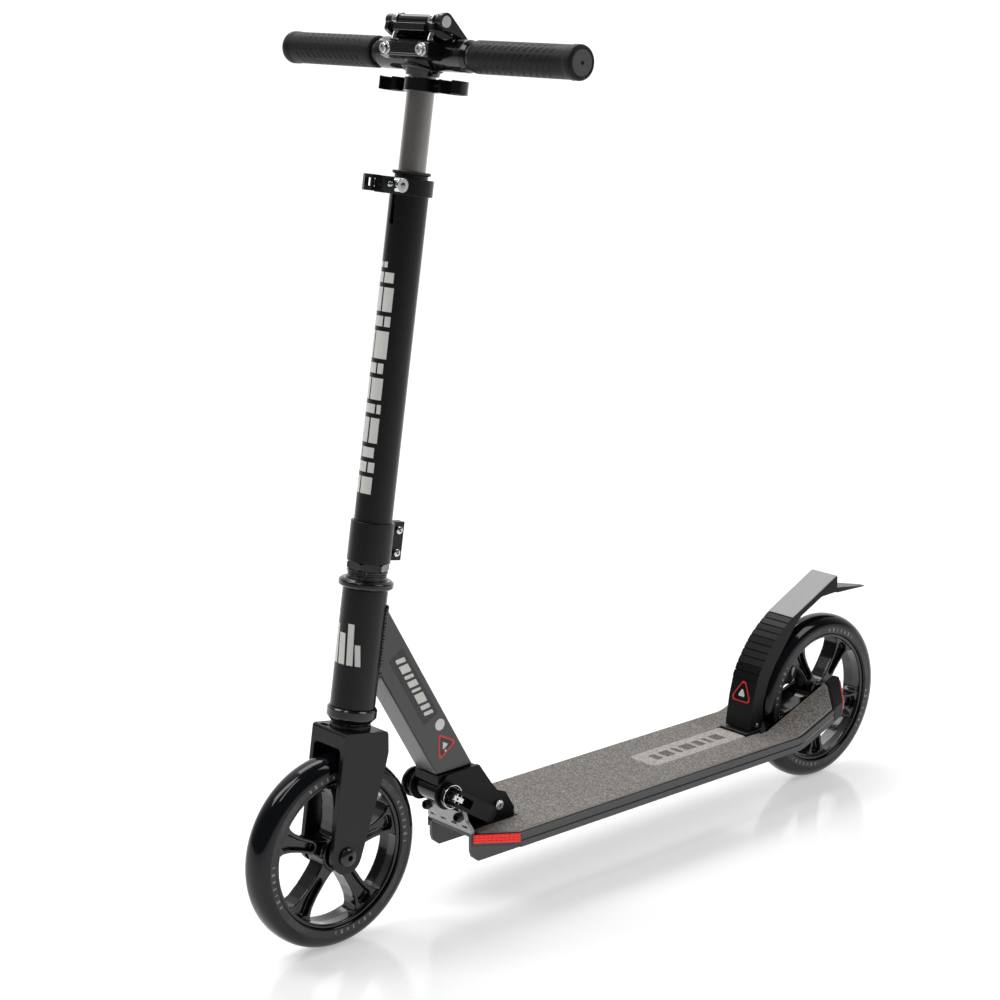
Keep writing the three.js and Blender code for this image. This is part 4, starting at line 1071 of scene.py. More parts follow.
def label_quad(u0, u1, v0, v1, radius, low, high):
    """A label on the down tube's left face, from distances along its slanting row and across it."""
    start, run, slant = Vector((64, 257.3)), Vector((35.1, -61.5)).normalized(), 0.4
    lift = Vector((-run.y, run.x)) + run * slant
    corners = [(*(start + run * u + lift * v), radius) for u, v in
               ((u0, v0), (u1, v0), (u1, v1), (u0, v1))]
    return prism(rounded(corners), low, high, "x")


def triangle(centre, radius, low, high, turn, axis="x"):
    corners = [(*p, radius * 0.22) for p in arc(*centre, radius, turn, turn + 240, 2)]
    return prism(rounded(corners), low, high, axis)


def tube_labels():
    """The panel with its bars, the disc and the sign on the down tube's left face."""
    face = TUBE_HALF
    panel = prism(rounded([(73, 267.4, 1.5), (56.9, 257.6, 1.5), (97.1, 188.3, 1.5),
                           (114.3, 197.2, 1.5)]), face - 0.2, face + 0.1, "x")
    bar_high = 9.8
    bars = [label_quad(u, u + w, 0, bar_high, 0.8, face, face + 0.17)
            for u, w in ((0, 5), (8, 9), (20, 4), (27, 7), (37, 3), (43, 11), (57, 5), (65, 4))]
    disc = rod(5.6, face - 0.2, face + 0.16, "x", (116.1, 185.1), 0.05)
    corners = [(114.2, 176.7), (136.2, 164.9), (114.5, 149.6)]
    centre = tuple(sum(p[k] for p in corners) / 3 for k in (0, 1))

    def nested(share, low, high):
        shape = [tuple(c + (v - c) * share for v, c in zip(p, centre)) for p in corners]
        return prism(rounded([(*p, 2.4 * share) for p in shape]), low, high, "x")

    outer = cut(nested(1, face - 0.2, face + 0.14), nested(0.76, face - 1, face + 1))
    inner = nested(0.76, face - 0.2, face + 0.1)
    middle = join(nested(0.3, face, face + 0.16),
                  rod(1.1, face, face + 0.18, "x", (centre[0] + 1, centre[1] - 5.4), 0.03))
    return panel, join(*bars), disc, outer, inner, middle


def head_labels():
    """Plain slanted bars on the front of the head tube."""
    return [wrapped(start, start + width, HEAD_R, 171, high, -6) for start, width, high in
            ((-35, 24, 206), (-5, 21, 199), (22, 17, 208), (45, 14, 190))]


def lower_cup():
    return lathe(rounded([(14.9, 130.9), (21.4, 130.9, 0.8), (22.6, 129.4, 1), (22.6, 122.2, 3.4),
                          (18, 117.4, 1), (16.5, 117.4), (16.5, 127), (14.9, 127)]))


def upper_cup():
    return lathe(rounded([(14.9, 239.1), (21.6, 239.1, 1), (24.7, 240.8, 2.2), (24.7, 245.4, 2.2),
                          (21.8, 247.6, 1), (18.8, 247.6, 0.2), (18.8, 249, 0.3), (17.6, 249.1, 0.1),
                          (17.6, 250.6, 0.3), (16.5, 250.6), (16.5, 243), (14.9, 243)]))


def front_frame():
    add = adder(CHASSIS, "front_frame")
    add(down_tube(), "down_tube_body", "black_aluminium", SATIN, ["down_tube"])
    add(tube(17.6, HEAD_R, HEAD_LOW, HEAD_HIGH, edge=0.7), "head_tube_body", "black_aluminium",
        HALF_SHADED_SATIN, ["head_tube"], STEERING)
    add(head_weld(), "head_weld", "black_aluminium", SATIN, place=STEERING)
    add(lower_cup(), "lower_cup_body", "gloss_black", GLOSS, ["lower_cup"], STEERING)
    add(upper_cup(), "upper_cup_body", "gloss_black", GLOSS, ["upper_cup"], STEERING)
    panel, bars, disc, outer, inner, middle = tube_labels()
    add(panel, "tube_panel", "gloss_black", GLOSS)
    add(bars, "tube_panel_bars", "light_grey", DECAL)
    add(disc, "tube_disc", "light_grey", WHITE)
    add(outer, "tube_triangle", "red", LABEL_RED)
    add(inner, "tube_triangle_ground", "gloss_black", GLOSS)
    add(middle, "tube_triangle_mark", "light_grey", WHITE)
    for k, label in enumerate(head_labels()):
        add(label, f"head_bar_{k + 1}", "light_grey", DECAL, place=STEERING)


# ---- rear brake -----------------------------------------------------------------------------
BRAKE_HALF = 17
BRAKE_WALL = 2.8
PIN_R = 2.5
RIB_EDGES = 10
TAIL_END = 736


def fender_outline():
    """The fender's side view, whose outer edge climbs in clapboard steps to the flat pedal."""
    foot = [(539, 79.5), (540.2, 90), (543.6, 111), (548.6, 130)]
    climb = [(548.6, 130), (555, 143.5), (564, 156.5), (574, 169), (588, 180.5), (602, 190)]
    lengths = [0.0]
    for (y0, z0), (y1, z1) in zip(climb, climb[1:]):
        lengths.append(lengths[-1] + math.hypot(y1 - y0, z1 - z0))
    steps = []
    for k in range(RIB_EDGES):
        for share, lift in ((k + 0.03, -0.3), (k + 0.07, 0.9), (k + 0.92, 0.9), (k + 0.96, -0.3)):
            distance = lengths[-1] * share / RIB_EDGES
            i = max(j for j, length in enumerate(lengths[:-1]) if length <= distance)
            t = (distance - lengths[i]) / (lengths[i + 1] - lengths[i])
            here = Vector(climb[i]).lerp(Vector(climb[i + 1]), t)
            run = (Vector(climb[i + 1]) - Vector(climb[i])).normalized()
            steps.append(tuple(here + Vector((-run.y, run.x)) * lift))
    top = [(602, 190.6), (671.4, 223.5), (673.2, 222.2)]
    under = [(673.5, 206), (648.5, 205), (631, 197), (616, 190), (606, 180.5), (585, 155), (577, 145),
             (567, 128), (560, 108), (558, 79.5)]
    return [*foot, *steps, *top, *under]


def brake_fender():
    """A hollow curved fender with a thin blade behind its pedal."""
    shell = prism(fender_outline(), -BRAKE_HALF, BRAKE_HALF, "x")
    inside = BRAKE_HALF - BRAKE_WALL
    pocket = prism([(543.5, 92), (544.5, 100), (549.5, 120), (555.5, 136.5), (567, 154.5),
                    (576.5, 166.5), (590, 177.3), (603, 186), (640, 203.5), (631, 190), (600, 160),
                    (590, 120), (575, 70), (543.5, 70)], -inside, inside, "x")
    blade = prism([(668, 213), (674, 210.5), (TAIL_END, 198.4), (TAIL_END, 197.4), (674, 204.8),
                   (668, 206.5)], -BRAKE_HALF, BRAKE_HALF, "x")
    plan = mirrored([(BRAKE_HALF, 660), (BRAKE_HALF, 674), (3, TAIL_END + 1)])
    tail = combine("INTERSECT", blade, [prism(plan, 180, 230)])
    bore = rod(PIN_R + GAP, -THROUGH, THROUGH, "x", BRAKE_PIVOT, 0)
    return soften(cut(join(shell, tail), pocket, bore), 0.3, 2)


def brake_pedal():
    """The satin tread plate over the fender's top; its pale grey is a painted highlight of the lit top
    face.
    """
    plate = prism([(602.3, 190.7), (602, 191.4), (670.8, 224.3), (672.4, 224), (672.6, 222.8)],
                  -BRAKE_HALF, BRAKE_HALF, "x")
    return soften(plate, 0.2, 2)


def brake_bracket():
    foot = block(-18.5, 18.5, 533, 556, DECK_TOP + 0.4, 78.6)
    lug = prism([(544.6, 77), (553.4, 77), *arc(*BRAKE_PIVOT, 4.4, 0, 180, 12)], -8, 8, "x")
    return soften(cut(join(foot, lug), rod(PIN_R + GAP, -THROUGH, THROUGH, "x", BRAKE_PIVOT, 0)), 0.5)


def spring_coil():
    """The return spring round the pin: three turns of wire."""
    turns, wire, coil_r, start, length, steps = 3, 0.62, 3.9, 8.9, 4.4, 24
    path = []
    for k in range(turns * steps + 1):
        a = math.tau * k / steps
        path.append((start + length * k / (turns * steps), BRAKE_PIVOT[0] + coil_r * math.cos(a),
                     BRAKE_PIVOT[1] + coil_r * math.sin(a)))
    return bead(path, wire, 0, 1)


def brake_labels():
    """The red-edged triangle on the front of the fender."""
    lean = math.atan2(5, 19)
    place = Matrix.Translation((0, 544.8, 115.7)) @ Matrix.Rotation(-lean, 4, "X")
    parts = []
    ring_r, ground_r, mark_r = 17.4, 14.3, 6
    for radius, hole, depth in ((ring_r, ground_r, 0.5), (ground_r, 0, 0.42), (mark_r, 0, 0.55)):
        shape = triangle((0, 0), radius, -depth, 0.5, 90, "y")
        if hole:
            cut(shape, triangle((0, 0), hole, -2, 2, 90, "y"))
        parts.append(moved(shape, place))
    return parts


def brake():
    add = adder(CHASSIS, "brake")
    add(brake_fender(), "fender_body", "plastic", SHADED_SATIN, ["brake_fender"])
    # The tread's pale grey is a painted highlight of the fender's lit top.
    add(brake_pedal(), "fender_tread", "plastic", PEDAL_PAINTED_HIGHLIGHT)
    ring, ground, mark = brake_labels()
    add(ring, "fender_triangle", "red", LABEL_RED)
    add(ground, "fender_triangle_ground", "gloss_black", GLOSS)
    add(mark, "fender_triangle_mark", "light_grey", WHITE)
    add(brake_bracket(), "brake_foot", "satin_black", SATIN, ["brake_bracket"], body="deck")
    add(rod(PIN_R, -19, 19, "x", BRAKE_PIVOT, 0.5), "brake_pin_rod", "steel", STEEL, ["brake_pin"],
        body="deck")
    add(spring_coil(), "brake_spring_coil", "steel", STEEL, ["brake_spring"], body="deck")


# ---- steering -------------------------------------------------------------------------------
CROWN_TOP = 112
STEM_LOW = 262.5
STEM_HIGH = 600
STEM_R = 17
STEM_BORE = 14.8
KEYHOLE = 562
LABELS_LOW = 324.0
CELL_GAP = 4
COLLAR_BOLT_Y = 27
COLLAR_BOLTS = (270.6, 291)
CLAMP_LOW = 585.5
CLAMP_HIGH = 600
CLAMP_MID = 593.5
LEVER_FRONT = -42
LEVER_BACK = -39.4


def fork():
    """Two legs and a crown in one: a side view cut through from front to back for the wheel."""
    toe = arc(*FORK_AXLE, 16.6, 180, 345, 20)
    outline = rounded([(-23.7, CROWN_TOP, 3), (-23.7, 60), *toe, (26.5, 80, 10), (28, 93, 6),
                       (25, CROWN_TOP, 4)])
    body = prism(outline, -24, 24, "x")
    inside = prism(rounded([(-19, -40), (19, -40), (19, 97, 4), (-19, 97, 4)]), -60, 60, "y")
    recess = prism(rectangle(-18.5, -7.5, -21, -15.2, 2.6), CROWN_TOP - 2.5, CROWN_TOP + 1)
    cut(body, inside, recess)
    soften(body, 1.3, 4)
    race = tube(STEM_BORE, 18.5, CROWN_TOP - 1, CROWN_TOP + 4, edge=1)
    return cut(join(body, race), rod(14.75, 80, 130, edge=0, steps=ROUND),
               rod(AXLE_R + GAP, -40, 40, "x", FORK_AXLE, 0))


def lock_nut():
    body = hexagon(19, 255.4, STEM_LOW - 0.4, chamfer=1.4)
    return cut(body, rod(STEM_BORE, 250, 270, edge=0, steps=ROUND))


def head_washers():
    """A keyed washer between two thin ones."""
    stack = [(STEM_BORE, 251.3), (17.8, 251.3, 0.3), (17.8, 252.6, 0.3), (16.6, 252.8), (16.6, 253.2),
             (18.4, 253.4, 0.3), (18.4, 255, 0.3), (STEM_BORE, 255)]
    return lathe(rounded(stack, 3))


def outer_stem():
    """The stem tube with its keyhole slot at the front and a short split at the back."""
    shell = tube(STEM_BORE, STEM_R, STEM_LOW, STEM_HIGH, edge=0.5)
    slot = block(-2.2, 2.2, -30, 0, KEYHOLE, 620)
    keyhole = rod(3, -30, 0, "y", (0, KEYHOLE), 0)
    return cut(shell, slot, keyhole, block(-1.2, 1.2, 0, 30, 240, 300))


def stem_labels():
    """A plain column of pale cells up the front of the stem.

    Each cell has its length, and the angles in degrees of its left edge, its split and its right one.
    """
    blocks = []
    height = LABELS_LOW
    cells = ((15, -32, -8, 34), (9, -32, 12, 36), (9, -32, -20, 30), (22, -26, 4, 36),
             (8, -32, 20, 36), (19, -32, -10, 34), (9, -28, 8, 30), (24, -32, -16, 36),
             (9, -32, 14, 36), (21, -30, 0, 36), (9, -32, -4, 32), (5, -32, -12, 6))
    for length, left, split, right in cells:
        blocks.append(wrapped(left, split - 3, STEM_R, height, height + length))
        blocks.append(wrapped(split + 3, right, STEM_R, height, height + length))
        height += length + CELL_GAP
    return blocks


def stem_collar():
    """A split band with two ears at the back, drawn together by two screws."""
    band = tube(STEM_R + SNUG, 19.5, STEM_LOW + 0.2, 298.8, edge=0.6)
    ears = [block(*span(side, 1.2, 4.2), 15, 33.2, 263.5, 298.5) for _, side in SIDES]
    holes = [rod(2.3, -20, 20, "x", (COLLAR_BOLT_Y, height), 0) for height in COLLAR_BOLTS]
    body = cut(join(band, *ears), rod(STEM_R + SNUG, 200, 320, edge=0, steps=ROUND),
               block(-1.2, 1.2, 0, 50, 250, 310), *holes)
    return soften(body, 0.6)


def collar_bolt(height):
    centre = (COLLAR_BOLT_Y, height)
    body = lathe(rounded([(0, -6.5), (3.4, -6.5, 0.5), (3.4, -4.5), (2, -4.5), (2, 4.4), (3.7, 4.4),
                          (3.7, 6.2, 1.6), (0, 7.4)]), "x", centre, FINE)
    return cut(body, prism(hexagonal(1.5, centre), 5.4, 9, "x"))


def stem_bush():
    return lathe(rounded([(12.15, 576), (14.5, 576), (14.5, 603, 0.3), (16.8, 603.8, 0.5),
                          (16.8, 606.2, 0.8), (12.15, 606.2)]))


def height_clamp():
    """A band split at the front between a longer near ear and a shorter far one."""
    band = tube(STEM_R + SNUG, 20.2, CLAMP_LOW, CLAMP_HIGH, edge=0.5)
    near = block(6.2, 10.4, -37, -14, CLAMP_LOW, CLAMP_HIGH)
    far = block(-10.4, -6.2, -31, -14, CLAMP_LOW, CLAMP_HIGH)
    body = cut(join(band, near, far), rod(STEM_R + SNUG, 500, 700, edge=0, steps=ROUND),
               block(-6.2, 6.2, -50, -5, 500, 700),
               rod(3.3, -THROUGH, THROUGH, "x", (CLAMP_BOLT_Y, CLAMP_MID), 0))
    return soften(body, 0.6)


def clamp_rivet():
    return lathe(rounded([(0, 10), (2.6, 10), (2.6, 11.6, 1.2), (0, 12)]), "x", (-32, CLAMP_MID), 24)


def height_skewer():
    """The socket-head screw through the clamp, with the eye that holds the lever at its far end."""
    body = lathe(rounded([(0, -14), (3, -14), (3, 10.5), (6.3, 10.5, 0.4), (6.3, 20.2, 0.7),
                          (0, 20.2)]), "x", (CLAMP_BOLT_Y, CLAMP_MID), 48)
    cut(body, prism(hexagonal(2.9, (CLAMP_BOLT_Y, CLAMP_MID)), 15, 24, "x"))
    eye = rod(4.6, CLAMP_MID - 3, CLAMP_MID + 3, "z", (HEIGHT_CAM_X, CLAMP_BOLT_Y))
    return join(body, eye)


def height_lever():
    """A hooked lever with a slot for the skewer's eye and a window through its front."""
    x, y = HEIGHT_CAM_X, CLAMP_BOLT_Y
    path = [(x - 5.6, -31, 4), (-17, -39.5, 3), (-11, LEVER_FRONT, 3), (-1, LEVER_FRONT, 1),
            (-1, LEVER_BACK, 1), (-10, LEVER_BACK, 1), (-14.5, -37, 2), (x - 2, -31.5, 2),
            (-13, -29.5, 1), (-12.2, y)]
    body = prism(rounded([*path, *arc(x, y, 5.6, 0, 180, 14)]), CLAMP_LOW + 0.6, CLAMP_HIGH + 0.2)
    window = block(-11, 3, -60, LEVER_BACK + 0.6, CLAMP_MID - 3.4, CLAMP_MID + 3.4)
    eye_slot = block(x - 9, -5, -32, -15, CLAMP_MID - 3.6, CLAMP_MID + 3.6)
    lip = block(-3.2, -1, LEVER_FRONT, LEVER_BACK, CLAMP_LOW + 0.6, CLAMP_HIGH + 0.2)
    return soften(join(cut(body, window, eye_slot), lip), 0.5)


def steering():
    add = adder(STEERING, "steering")
    add(fork(), "fork_body", "satin_black", HALF_SHADED_SATIN, ["fork"])
    add(tube(12, 14.45, 98, 292), "steerer_tube", "steel", STEEL, ["steerer"])
    add(head_washers(), "head_washers", "chrome", DARK_STEEL, ["head_washer"])
    add(lock_nut(), "lock_nut_hex", "gloss_black", GLOSS, ["lock_nut"])
    add(outer_stem(), "stem_tube", "black_aluminium", HALF_SHADED_SATIN, ["outer_stem"])
    for k, label in enumerate(stem_labels()):
        add(label, f"stem_block_{k + 1}", "light_grey", DECAL)
    add(stem_collar(), "stem_collar_band", "black_aluminium", HALF_SHADED_SATIN, ["stem_collar"])
    for k, height in enumerate(COLLAR_BOLTS):
        add(collar_bolt(height), f"collar_screw_{k + 1}", "chrome", CHROME, [f"collar_bolt_{k + 1}"])
    add(stem_bush(), "stem_bush_flange", "plastic", PLASTIC, ["stem_bush"])
    add(height_clamp(), "height_clamp_band", "black_aluminium", HALF_SHADED_SATIN, ["height_clamp"])
    add(clamp_rivet(), "height_clamp_rivet", "chrome", CHROME)
    add(height_skewer(), "height_screw", "chrome", CHROME, ["height_skewer"])
    add(height_lever(), "height_handle", "black_aluminium", HALF_SHADED_SATIN, ["height_lever"],
        body="height_cam")


# ---- handlebar clamp ------------------------------------------------------------------------
INNER_R = 12
CRADLE_HALF = 56
CRADLE_R = 14
JAW_HALF = 32
LEVER_WIDE = 38
EYE_X = 24
EYE_ROOM = 3.4
CLIP_LOW = 674.5
CLIP_HIGH = 686
CLIP_X = 40
CLIP_R = 10.9
CLIP_OUT_R = 12.8
CLIP_Y = 2
SHANK_FOOT = (-20.5, 701)
NOSE_BOLT = (-24, 708.7)


def inner_stem():
    body = tube(10, INNER_R, 335, 700)
    return cut(body, rod(CRADLE_R + 0.1, -40, 40, "x", BAR_AXIS, 0, ROUND))


def bar_cradle():
    """The T joint: a sleeve for the bar, a socket for the stem and a nose at the front."""
    sleeve = lathe(rounded([(BAR_R + 0.1, -60), (BAR_R + 0.9, -60, 0.4), (CRADLE_R, -CRADLE_HALF, 1.5),
                            (CRADLE_R, CRADLE_HALF, 1.5), (BAR_R + 0.9, 60, 0.4), (BAR_R + 0.1, 60)]),
                   "x", BAR_AXIS)
    socket = lathe(rounded([(INNER_R + 0.1, 688), (14.4, 688, 0.6), (15.6, 693, 2), (17, 702),
                            (INNER_R + 0.1, 702)]))
    nose = prism(rounded([(-24, 703, 1.5), (-24, 714, 2), (-19, 717.6, 2), (-4, 711.5), (-4, 700.5),
                          (-17, 700.5, 3)]), -JAW_HALF, JAW_HALF, "x")
    bore = rod(BAR_R + 0.1, -80, 80, "x", BAR_AXIS, 0, ROUND)
    window = block(-JAW_HALF - GAP, JAW_HALF + GAP, -6, 30, 709, 740)
    body = cut(join(sleeve, nose, socket), bore, window, *[shank(side, 3.1) for _, side in SIDES])
    return soften(body, 0.5, 2)


def eye_room(side):
    """The width along the bar that an eye bolt passes through."""
    return span(side, EYE_X - EYE_ROOM, EYE_X + EYE_ROOM)


def shank(side, radius):
    """The straight part of an eye bolt, from the cam down into the cradle."""
    fall = Vector((0, SHANK_FOOT[0] - CAM[0], SHANK_FOOT[1] - CAM[1]))
    body = rod(radius, 4, fall.length - 1, edge=0.4)
    turn = fall.to_track_quat("Z", "Y").to_matrix().to_4x4()
    return moved(body, Matrix.Translation((side * EYE_X, *CAM)) @ turn)


def eye_bolt(side):
    """A bolt from the cradle whose eye holds the wide lever."""
    eye = tube(4.9, 7, *span(side, EYE_X - 3, EYE_X + 3), "x", CAM, 0.8)
    return join(eye, cut(shank(side, 2.7), rod(4.9, -60, 60, "x", CAM, 0)))


def nose_screw(side):
    """A chrome screw in the front of the cradle, leaning a little down."""
    turn = Matrix.Translation((side * EYE_X, *NOSE_BOLT)) @ Matrix.Rotation(math.radians(98), 4, "X")
    return moved(join(socket_screw(4.7, 4.4, 2.4), rod(5.8, -0.4, 0.7, edge=0.2)), turn)


def nose_strip():
    """The black ribbed strip between the two screws."""
    root, crest, pitch = -24.1, -24.9, 2.05
    ribs = []
    for k in range(5):
        s = 704.4 + pitch * k
        ribs += [(root, s), (crest, s + 0.5), (crest, s + 1.4), (root, s + 1.9)]
    return soften(prism([(-23.6, 704), *ribs, (-23.6, 714.4)], -17.5, 17.5, "x"), 0.15, 2)


def stem_weld():
    """The rippled weld where the stem meets the cradle."""
    path = []
    for k in range(121):
        a = math.tau * k / 120
        path.append((16.2 * math.cos(a), 15.4 * math.sin(a),
                     694 + 2.6 * abs(math.sin(a)) - 1.6 * abs(math.cos(a))))
    return bead(path, 1.9, 0.6, 2.9)


def clamp_jaw():
    """The block that the lever presses on the bar, with passages for the eye bolts."""
    seat = arc(*CAM, 5.9, 205, 310, 10)
    back = arc(*BAR_AXIS, 17.3, 100, 25, 14)
    under = arc(*BAR_AXIS, CRADLE_R + GAP, 25, 130, 16)
    shape = rounded([(-21, 731, 1), *seat, *back, *under, (-15, 720.5, 2), (-22, 724.5, 2)])
    jaw = prism(shape, -JAW_HALF, JAW_HALF, "x")
    passages = [block(*eye_room(side), -23.5, -4, 715, 745) for _, side in SIDES]
    liner = prism([*arc(*BAR_AXIS, BAR_R + 0.1, 35, 125, 14),
                   *arc(*BAR_AXIS, CRADLE_R + 1, 125, 35, 14)], -JAW_HALF + GAP, JAW_HALF - GAP, "x")
    return soften(join(cut(jaw, *passages), liner), 0.6)


def clamp_lever():
    """A wide lever on its barrel: a web with slots for the eye bolts, and a cheek at one end."""
    barrel = rod(5.4, -LEVER_WIDE, LEVER_WIDE, "x", CAM, 0.8, 48)
    grooves = [tube(4.5, 8, *eye_room(side), "x", CAM, 0.1) for _, side in SIDES]
    web = prism(rounded([(-13.5, 738.6), (-5.5, 740, 2), (6, 727.8, 0.6), (3, 727.2, 0.6),
                         (-5.9, 731.2, 2), (-9.5, 729)]), -LEVER_WIDE, JAW_HALF + 2, "x")
    cheek = prism(rounded([*arc(*CAM, 7.6, 60, 290, 18), (5, 722.8, 4), (18.6, 716.4, 0.5),
                           (19.4, 717.6, 0.5)]), JAW_HALF + 1.5, LEVER_WIDE, "x")
    slots = [block(*eye_room(side), -32, 19, 700, 760) for _, side in SIDES]
    pins = [rod(4.5, *span(side, EYE_X - 5, EYE_X + 5), "x", CAM, 0) for _, side in SIDES]
    body = join(cut(barrel, *grooves), cut(web, *slots), cheek)
    return soften(join(body, *pins), 0.5, 2)


def cam_pin():
    """The bright end of the lever's pin, level with the cheek."""
    return rod(5.1, LEVER_WIDE - 0.4, LEVER_WIDE + 0.2, "x", CAM, 0.2, 48)


def storage_clip():
    """A hoop round the inner tube with a C-shaped clip at each end."""
    low, high = CLIP_LOW, CLIP_HIGH
    hoop = tube(INNER_R + SNUG, 15.4, low, high, edge=0.6)
    clips = [prism([*arc(side * CLIP_X, CLIP_Y, CLIP_OUT_R, -50, 230, 40),
                    *arc(side * CLIP_X, CLIP_Y, CLIP_R, 230, -50, 40)], low, high)
             for _, side in SIDES]
    links = [block(*span(side, 13, CLIP_X - 11.5), 0, 4, low, high) for _, side in SIDES]
    ribs = [block(*span(side, 16.5, CLIP_X - 14), -2.6, 0.5, low + 4.8, low + 6.7)
            for _, side in SIDES]
    bores = [rod(r, 600, 750, "z", (x, y), 0, ROUND) for x, y, r in
             ((0, 0, INNER_R + SNUG), (CLIP_X, CLIP_Y, CLIP_R), (-CLIP_X, CLIP_Y, CLIP_R))]
    return soften(cut(join(hoop, *clips, *links, *ribs), *bores), 0.6)


def handlebar_clamp():
    add = adder(STEERING, "stem_top")
    add(inner_stem(), "inner_stem_tube", "anodised", ANODISED, ["inner_stem"])
    add(bar_cradle(), "cradle_body", "black_aluminium", GLOSS, ["bar_cradle"])
    add(stem_weld(), "stem_weld", "black_aluminium", GLOSS)
    add(nose_strip(), "cradle_strip", "gloss_black", GLOSS)
    add(clamp_jaw(), "jaw_body", "black_aluminium", GLOSS, ["clamp_jaw"])
    add(clamp_lever(), "clamp_handle", "black_aluminium", GLOSS, ["clamp_lever"], body="bar_cam")
    add(cam_pin(), "clamp_pin", "chrome", CHROME, body="bar_cam")
    add(storage_clip(), "clip_body", "plastic", GLOSS, ["storage_clip"])
    for label, side in SIDES:
        add(eye_bolt(side), f"eye_{label}", "chrome", CHROME, [f"eye_bolt_{label}"])
        add(nose_screw(side), f"nose_screw_{label}", "chrome", CHROME)


# ---- handlebar halves -----------------------------------------------------------------------
SLIT_PITCH = 7.8
SLITS = 12
SLIT_ROWS = 12
SLIT_START = 78
SLIT_DEPTH = 0.55
SLIT_HALF_LENGTH = 3.4
SLIT_HALF_WIDTH = 0.75
SLIT_SLANT = (0.62, 0.78)


def grip_sleeve(side):
    """A rubber sleeve with rows of slanting slits and a rounded end."""
    fine = [SLIT_START - 5 + 0.5 * k for k in range(int((SLITS * SLIT_PITCH + 10) / 0.5))]
    flange = GRIP_FLANGE_R
    profile = [(BAR_R + 0.1, GRIP_IN), (GRIP_R - 1.6, GRIP_IN), (GRIP_R - 0.5, GRIP_IN + 0.8),
               (GRIP_R, GRIP_IN + 2.4), *[(GRIP_R, x) for x in fine], (GRIP_R, GRIP_OUT - 10.6),
               (flange - 0.4, GRIP_OUT - 9.6), (flange, GRIP_OUT - 9), (flange, GRIP_OUT - 2.6),
               (flange - 0.5, GRIP_OUT - 1.2), (flange - 1.8, GRIP_OUT - 0.3),
               (flange - 3, GRIP_OUT - 0.1), (flange - 3.3, GRIP_OUT - 1.1), (0, GRIP_OUT - 1.1),
               (0, GRIP_OUT - 3.6), (BAR_R + 0.1, GRIP_OUT - 3.6)]
    sleeve = lathe([(r, side * x) for r, x in profile], "x", (0, 0), 184)
    for v in sleeve.data.vertices:
        x, r = abs(v.co.x), math.hypot(v.co.y, v.co.z)
        if abs(r - GRIP_R) < 0.01 and fine[0] < x < fine[-1]:
            depth = slit_depth(x, math.atan2(v.co.z, v.co.y))
            v.co.y *= 1 - depth / r
            v.co.z *= 1 - depth / r
    return moved(sleeve, Matrix.Translation((0, *BAR_AXIS)))


def slit_depth(x, angle):
    """How deep the grip is cut at a place: slanting slits in rows, each row shifted by half a pitch."""
    row = round(angle / math.tau * SLIT_ROWS)
    around = (angle - row * math.tau / SLIT_ROWS) * GRIP_R
    start = SLIT_START + (row % 2) * SLIT_PITCH / 2
    index = min(max(round((x - start) / SLIT_PITCH), 0), SLITS - 1)
    ahead = x - start - index * SLIT_PITCH
    run, rise = SLIT_SLANT
    within = (SLIT_HALF_LENGTH - abs(ahead * run - around * rise)) / 0.5
    across = (SLIT_HALF_WIDTH - abs(ahead * rise + around * run)) / 0.4
    return SLIT_DEPTH * max(0, min(1, within)) * max(0, min(1, across))


def grip_plug(side):
    """The end plug with its square hole."""
    low, high = span(side, GRIP_OUT - 3, GRIP_OUT - 0.25)
    plug = rod(GRIP_FLANGE_R - 3.4, low, high, "x", BAR_AXIS, 0.5, 72)
    square = arc(*BAR_AXIS, 2.3, 0, 270, 3)
    return cut(plug, prism(square, *span(side, GRIP_OUT - 2.4, GRIP_OUT + 2), "x"))


def handlebar():
    for label, side in SIDES:
        body = f"handle_{label}"
        bar = tube(BAR_R - 2, BAR_R, *span(side, 1, GRIP_OUT - 4), "x", BAR_AXIS)
        piece(bar, f"bar_tube_{label}", STEERING, body, "black_aluminium", SATIN, [f"bar_{label}"])
        piece(grip_sleeve(side), f"grip_sleeve_{label}", STEERING, body, "rubber", RUBBER,
              [f"grip_{label}"], flat=False)
        piece(grip_plug(side), f"grip_plug_{label}", STEERING, body, "rubber", CAP)


# ---- floor and light ------------------------------------------------------------------------
LIT_POINT = Vector((0, 0, 0.4))
BACK_WALL = 228
ROOM_DARK = 0.08
ROOM_BRIGHT = 1.0
FLOOR_GLOW = 0.4


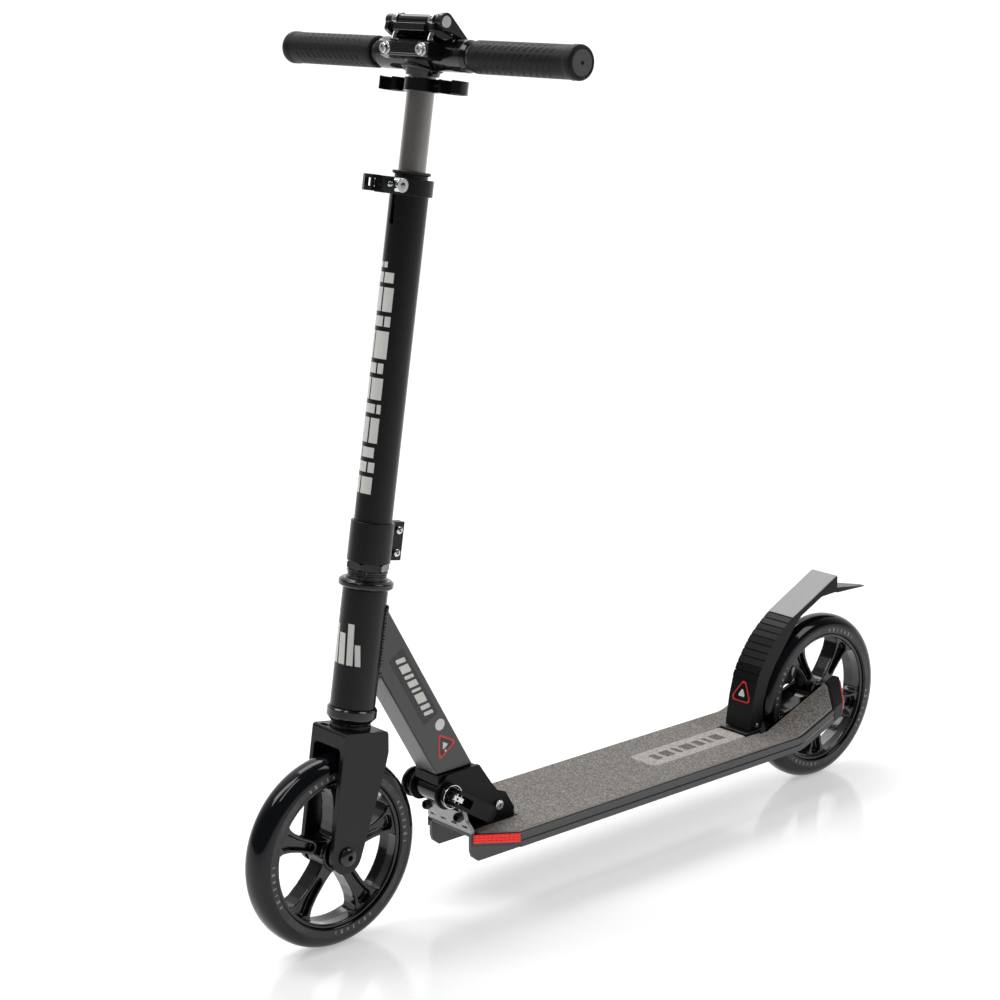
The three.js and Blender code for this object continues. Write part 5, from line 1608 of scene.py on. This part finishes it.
def floor():
    half = 40
    mesh = bpy.data.meshes.new("floor")
    mesh.from_pydata([(-half, -half, 0), (half, -half, 0), (half, half, 0), (-half, half, 0)], [],
                     [(0, 1, 2, 3)])
    made = bpy.data.objects.new("floor", mesh)
    made.location.z = -0.0002
    bpy.context.scene.collection.objects.link(made)
    look = surface("floor_white", (0.86, 0.86, 0.865), (0.88, 0.88, 0.885), (0.1, 0.16), mottle=3,
                   grain=40, bump=0.0)
    glowing(look, (1, 1, 1), FLOOR_GLOW)
    made.data.materials.append(look)


def softbox(name, azimuth, elevation, distance, width, height, power):
    """A soft light, in degrees, metres and watts, that faces the middle of the object."""
    data = bpy.data.lights.new(name, "AREA")
    data.shape = "RECTANGLE"
    data.size = width
    data.size_y = height
    data.energy = power
    lamp = bpy.data.objects.new(name, data)
    back = direction(azimuth, elevation)
    lamp.location = LIT_POINT + back * distance
    lamp.rotation_euler = back.to_track_quat("Z", "Y").to_euler()
    bpy.context.scene.collection.objects.link(lamp)


def studio_world():
    """A white room behind the object that darkens smoothly towards the side facing the viewer."""
    world = bpy.data.worlds.new("studio")
    world.use_nodes = True
    nodes, links = world.node_tree.nodes, world.node_tree.links
    coords = nodes.new("ShaderNodeTexCoord")
    facing = nodes.new("ShaderNodeVectorMath")
    facing.operation = "DOT_PRODUCT"
    facing.inputs[1].default_value = direction(BACK_WALL, 0)
    links.new(coords.outputs["Generated"], facing.inputs[0])
    level = nodes.new("ShaderNodeMapRange")
    level.interpolation_type = "SMOOTHSTEP"
    level.inputs["From Min"].default_value = 0.0
    level.inputs["From Max"].default_value = 0.95
    level.inputs["To Min"].default_value = ROOM_DARK
    level.inputs["To Max"].default_value = ROOM_BRIGHT
    links.new(facing.outputs["Value"], level.inputs["Value"])
    links.new(level.outputs["Result"], nodes["Background"].inputs["Strength"])
    nodes["Background"].inputs["Color"].default_value = (0.98, 0.99, 1, 1)
    bpy.context.scene.world = world


def lights():
    studio_world()
    softbox("left_box", -42, 52, 3.2, 1.0, 2.0, 34)
    softbox("top_box", -110, 55, 2.8, 1.6, 1.2, 22)
    softbox("front_box", 10, 62, 3.4, 0.6, 1.8, 16)
    softbox("right_box", 126, 40, 3.0, 1.0, 2.0, 24)
    bpy.context.scene.view_settings.view_transform = "Standard"


wheels()
deck()
folding_joint()
front_frame()
brake()
steering()
handlebar_clamp()
handlebar()
floor()
lights()
